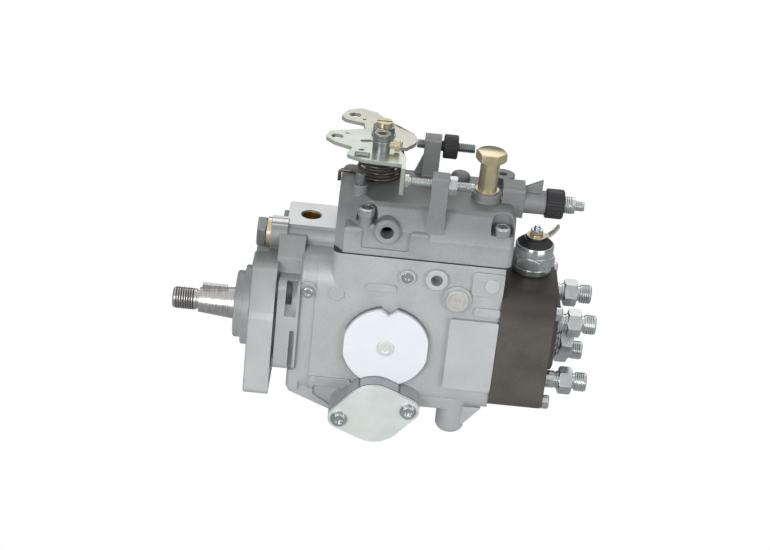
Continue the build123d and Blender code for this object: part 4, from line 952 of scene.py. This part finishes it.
def makeFloor(height):
    # plain and pale; white to the camera, and darker where a metal mirrors it
    bpy.ops.mesh.primitive_plane_add(size=studio["floorSize"], location=(0, 0, height))
    floor = named("floor")
    settle(floor)
    material = bpy.data.materials.new("floorWhite")
    material.use_nodes = True
    tree = material.node_tree
    shader = tree.nodes["Principled BSDF"]
    tone = studio["floorTone"]
    connect(tree, shader, {"Base Color": colour4((tone, tone, tone)), "Roughness": studio["floorRough"]})
    path = addNode(tree, "LightPath").outputs
    tint = mixed(tree, "RGBA", path["Is Camera Ray"], colour4(studio["glossyFloor"]), white)
    glow = addNode(tree, "Emission", {"Color": tint})
    share = calc(tree, "MAXIMUM", path["Is Camera Ray"], path["Is Glossy Ray"])
    mix = addNode(tree, "MixShader", {0: share, 1: shader.outputs[0], 2: glow.outputs[0]})
    connect(tree, tree.nodes["Material Output"], {"Surface": mix.outputs[0]})
    floor.data.materials.append(material)
    floor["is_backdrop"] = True


def makeWorld():
    # mirrored rays meet a sky that is dark at the horizon, which gives the metal its contrast
    world = bpy.data.worlds.new("studio")
    bpy.context.scene.world = world
    world.use_nodes = True
    tree = world.node_tree
    ambient = studio["ambient"]
    path = addNode(tree, "LightPath").outputs
    seen = calc(tree, "MAXIMUM", path["Is Camera Ray"], path["Is Transmission Ray"])
    coords = addNode(tree, "TexCoord").outputs
    height = addNode(tree, "SeparateXYZ", {0: coords["Generated"]}).outputs["Z"]
    rise = ramped(tree, height, studio["riseFrom"], studio["riseTo"], studio["horizon"] / ambient,
                  studio["zenith"] / ambient)
    connect(tree, tree.nodes["Background"], {
        "Strength": ramped(tree, seen, 0.0, 1.0, ambient, 1.0),
        "Color": mixed(tree, "RGBA", path["Is Glossy Ray"], white, rise)})


def addLamp(name, plan):
    bpy.ops.object.light_add(type="AREA", location=plan["place"])
    lamp = bpy.context.active_object
    lamp.name = name
    lamp.data.shape = "SQUARE"
    lamp.data.size = plan["size"]
    lamp.data.energy = plan["power"]
    aim = Vector(studio["target"]) - Vector(plan["place"])
    lamp.rotation_euler = aim.to_track_quat("-Z", "Y").to_euler()


def makeCamera():
    azimuth, elevation, roll = (math.radians(eye[key]) for key in ("azimuth", "elevation", "roll"))
    back = Vector((math.sin(azimuth) * math.cos(elevation), -math.cos(azimuth) * math.cos(elevation),
                   math.sin(elevation)))
    level = Vector((math.cos(azimuth), math.sin(azimuth), 0))
    rise = back.cross(level)
    right = level * math.cos(roll) + rise * math.sin(roll)
    up = rise * math.cos(roll) - level * math.sin(roll)
    place = right * eye["right"] + up * eye["up"] + back * eye["distance"]
    data = bpy.data.cameras.new("camera")
    data.lens = eye["lens"]
    data.sensor_width = eye["sensor"]
    data.clip_start = eye["near"]
    camera = bpy.data.objects.new("camera", data)
    bpy.context.collection.objects.link(camera)
    camera.matrix_world = Matrix((
        (right.x, up.x, back.x, place.x), (right.y, up.y, back.y, place.y),
        (right.z, up.z, back.z, place.z), (0, 0, 0, 1)))
    bpy.context.scene.camera = camera


for name, plan in lamps.items():
    addLamp(name, plan)
makeFloor(cadBounds[0][2])
makeWorld()
makeCamera()
bpy.context.scene.view_settings.view_transform = "Standard"
print("stage ready")

low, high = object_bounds()
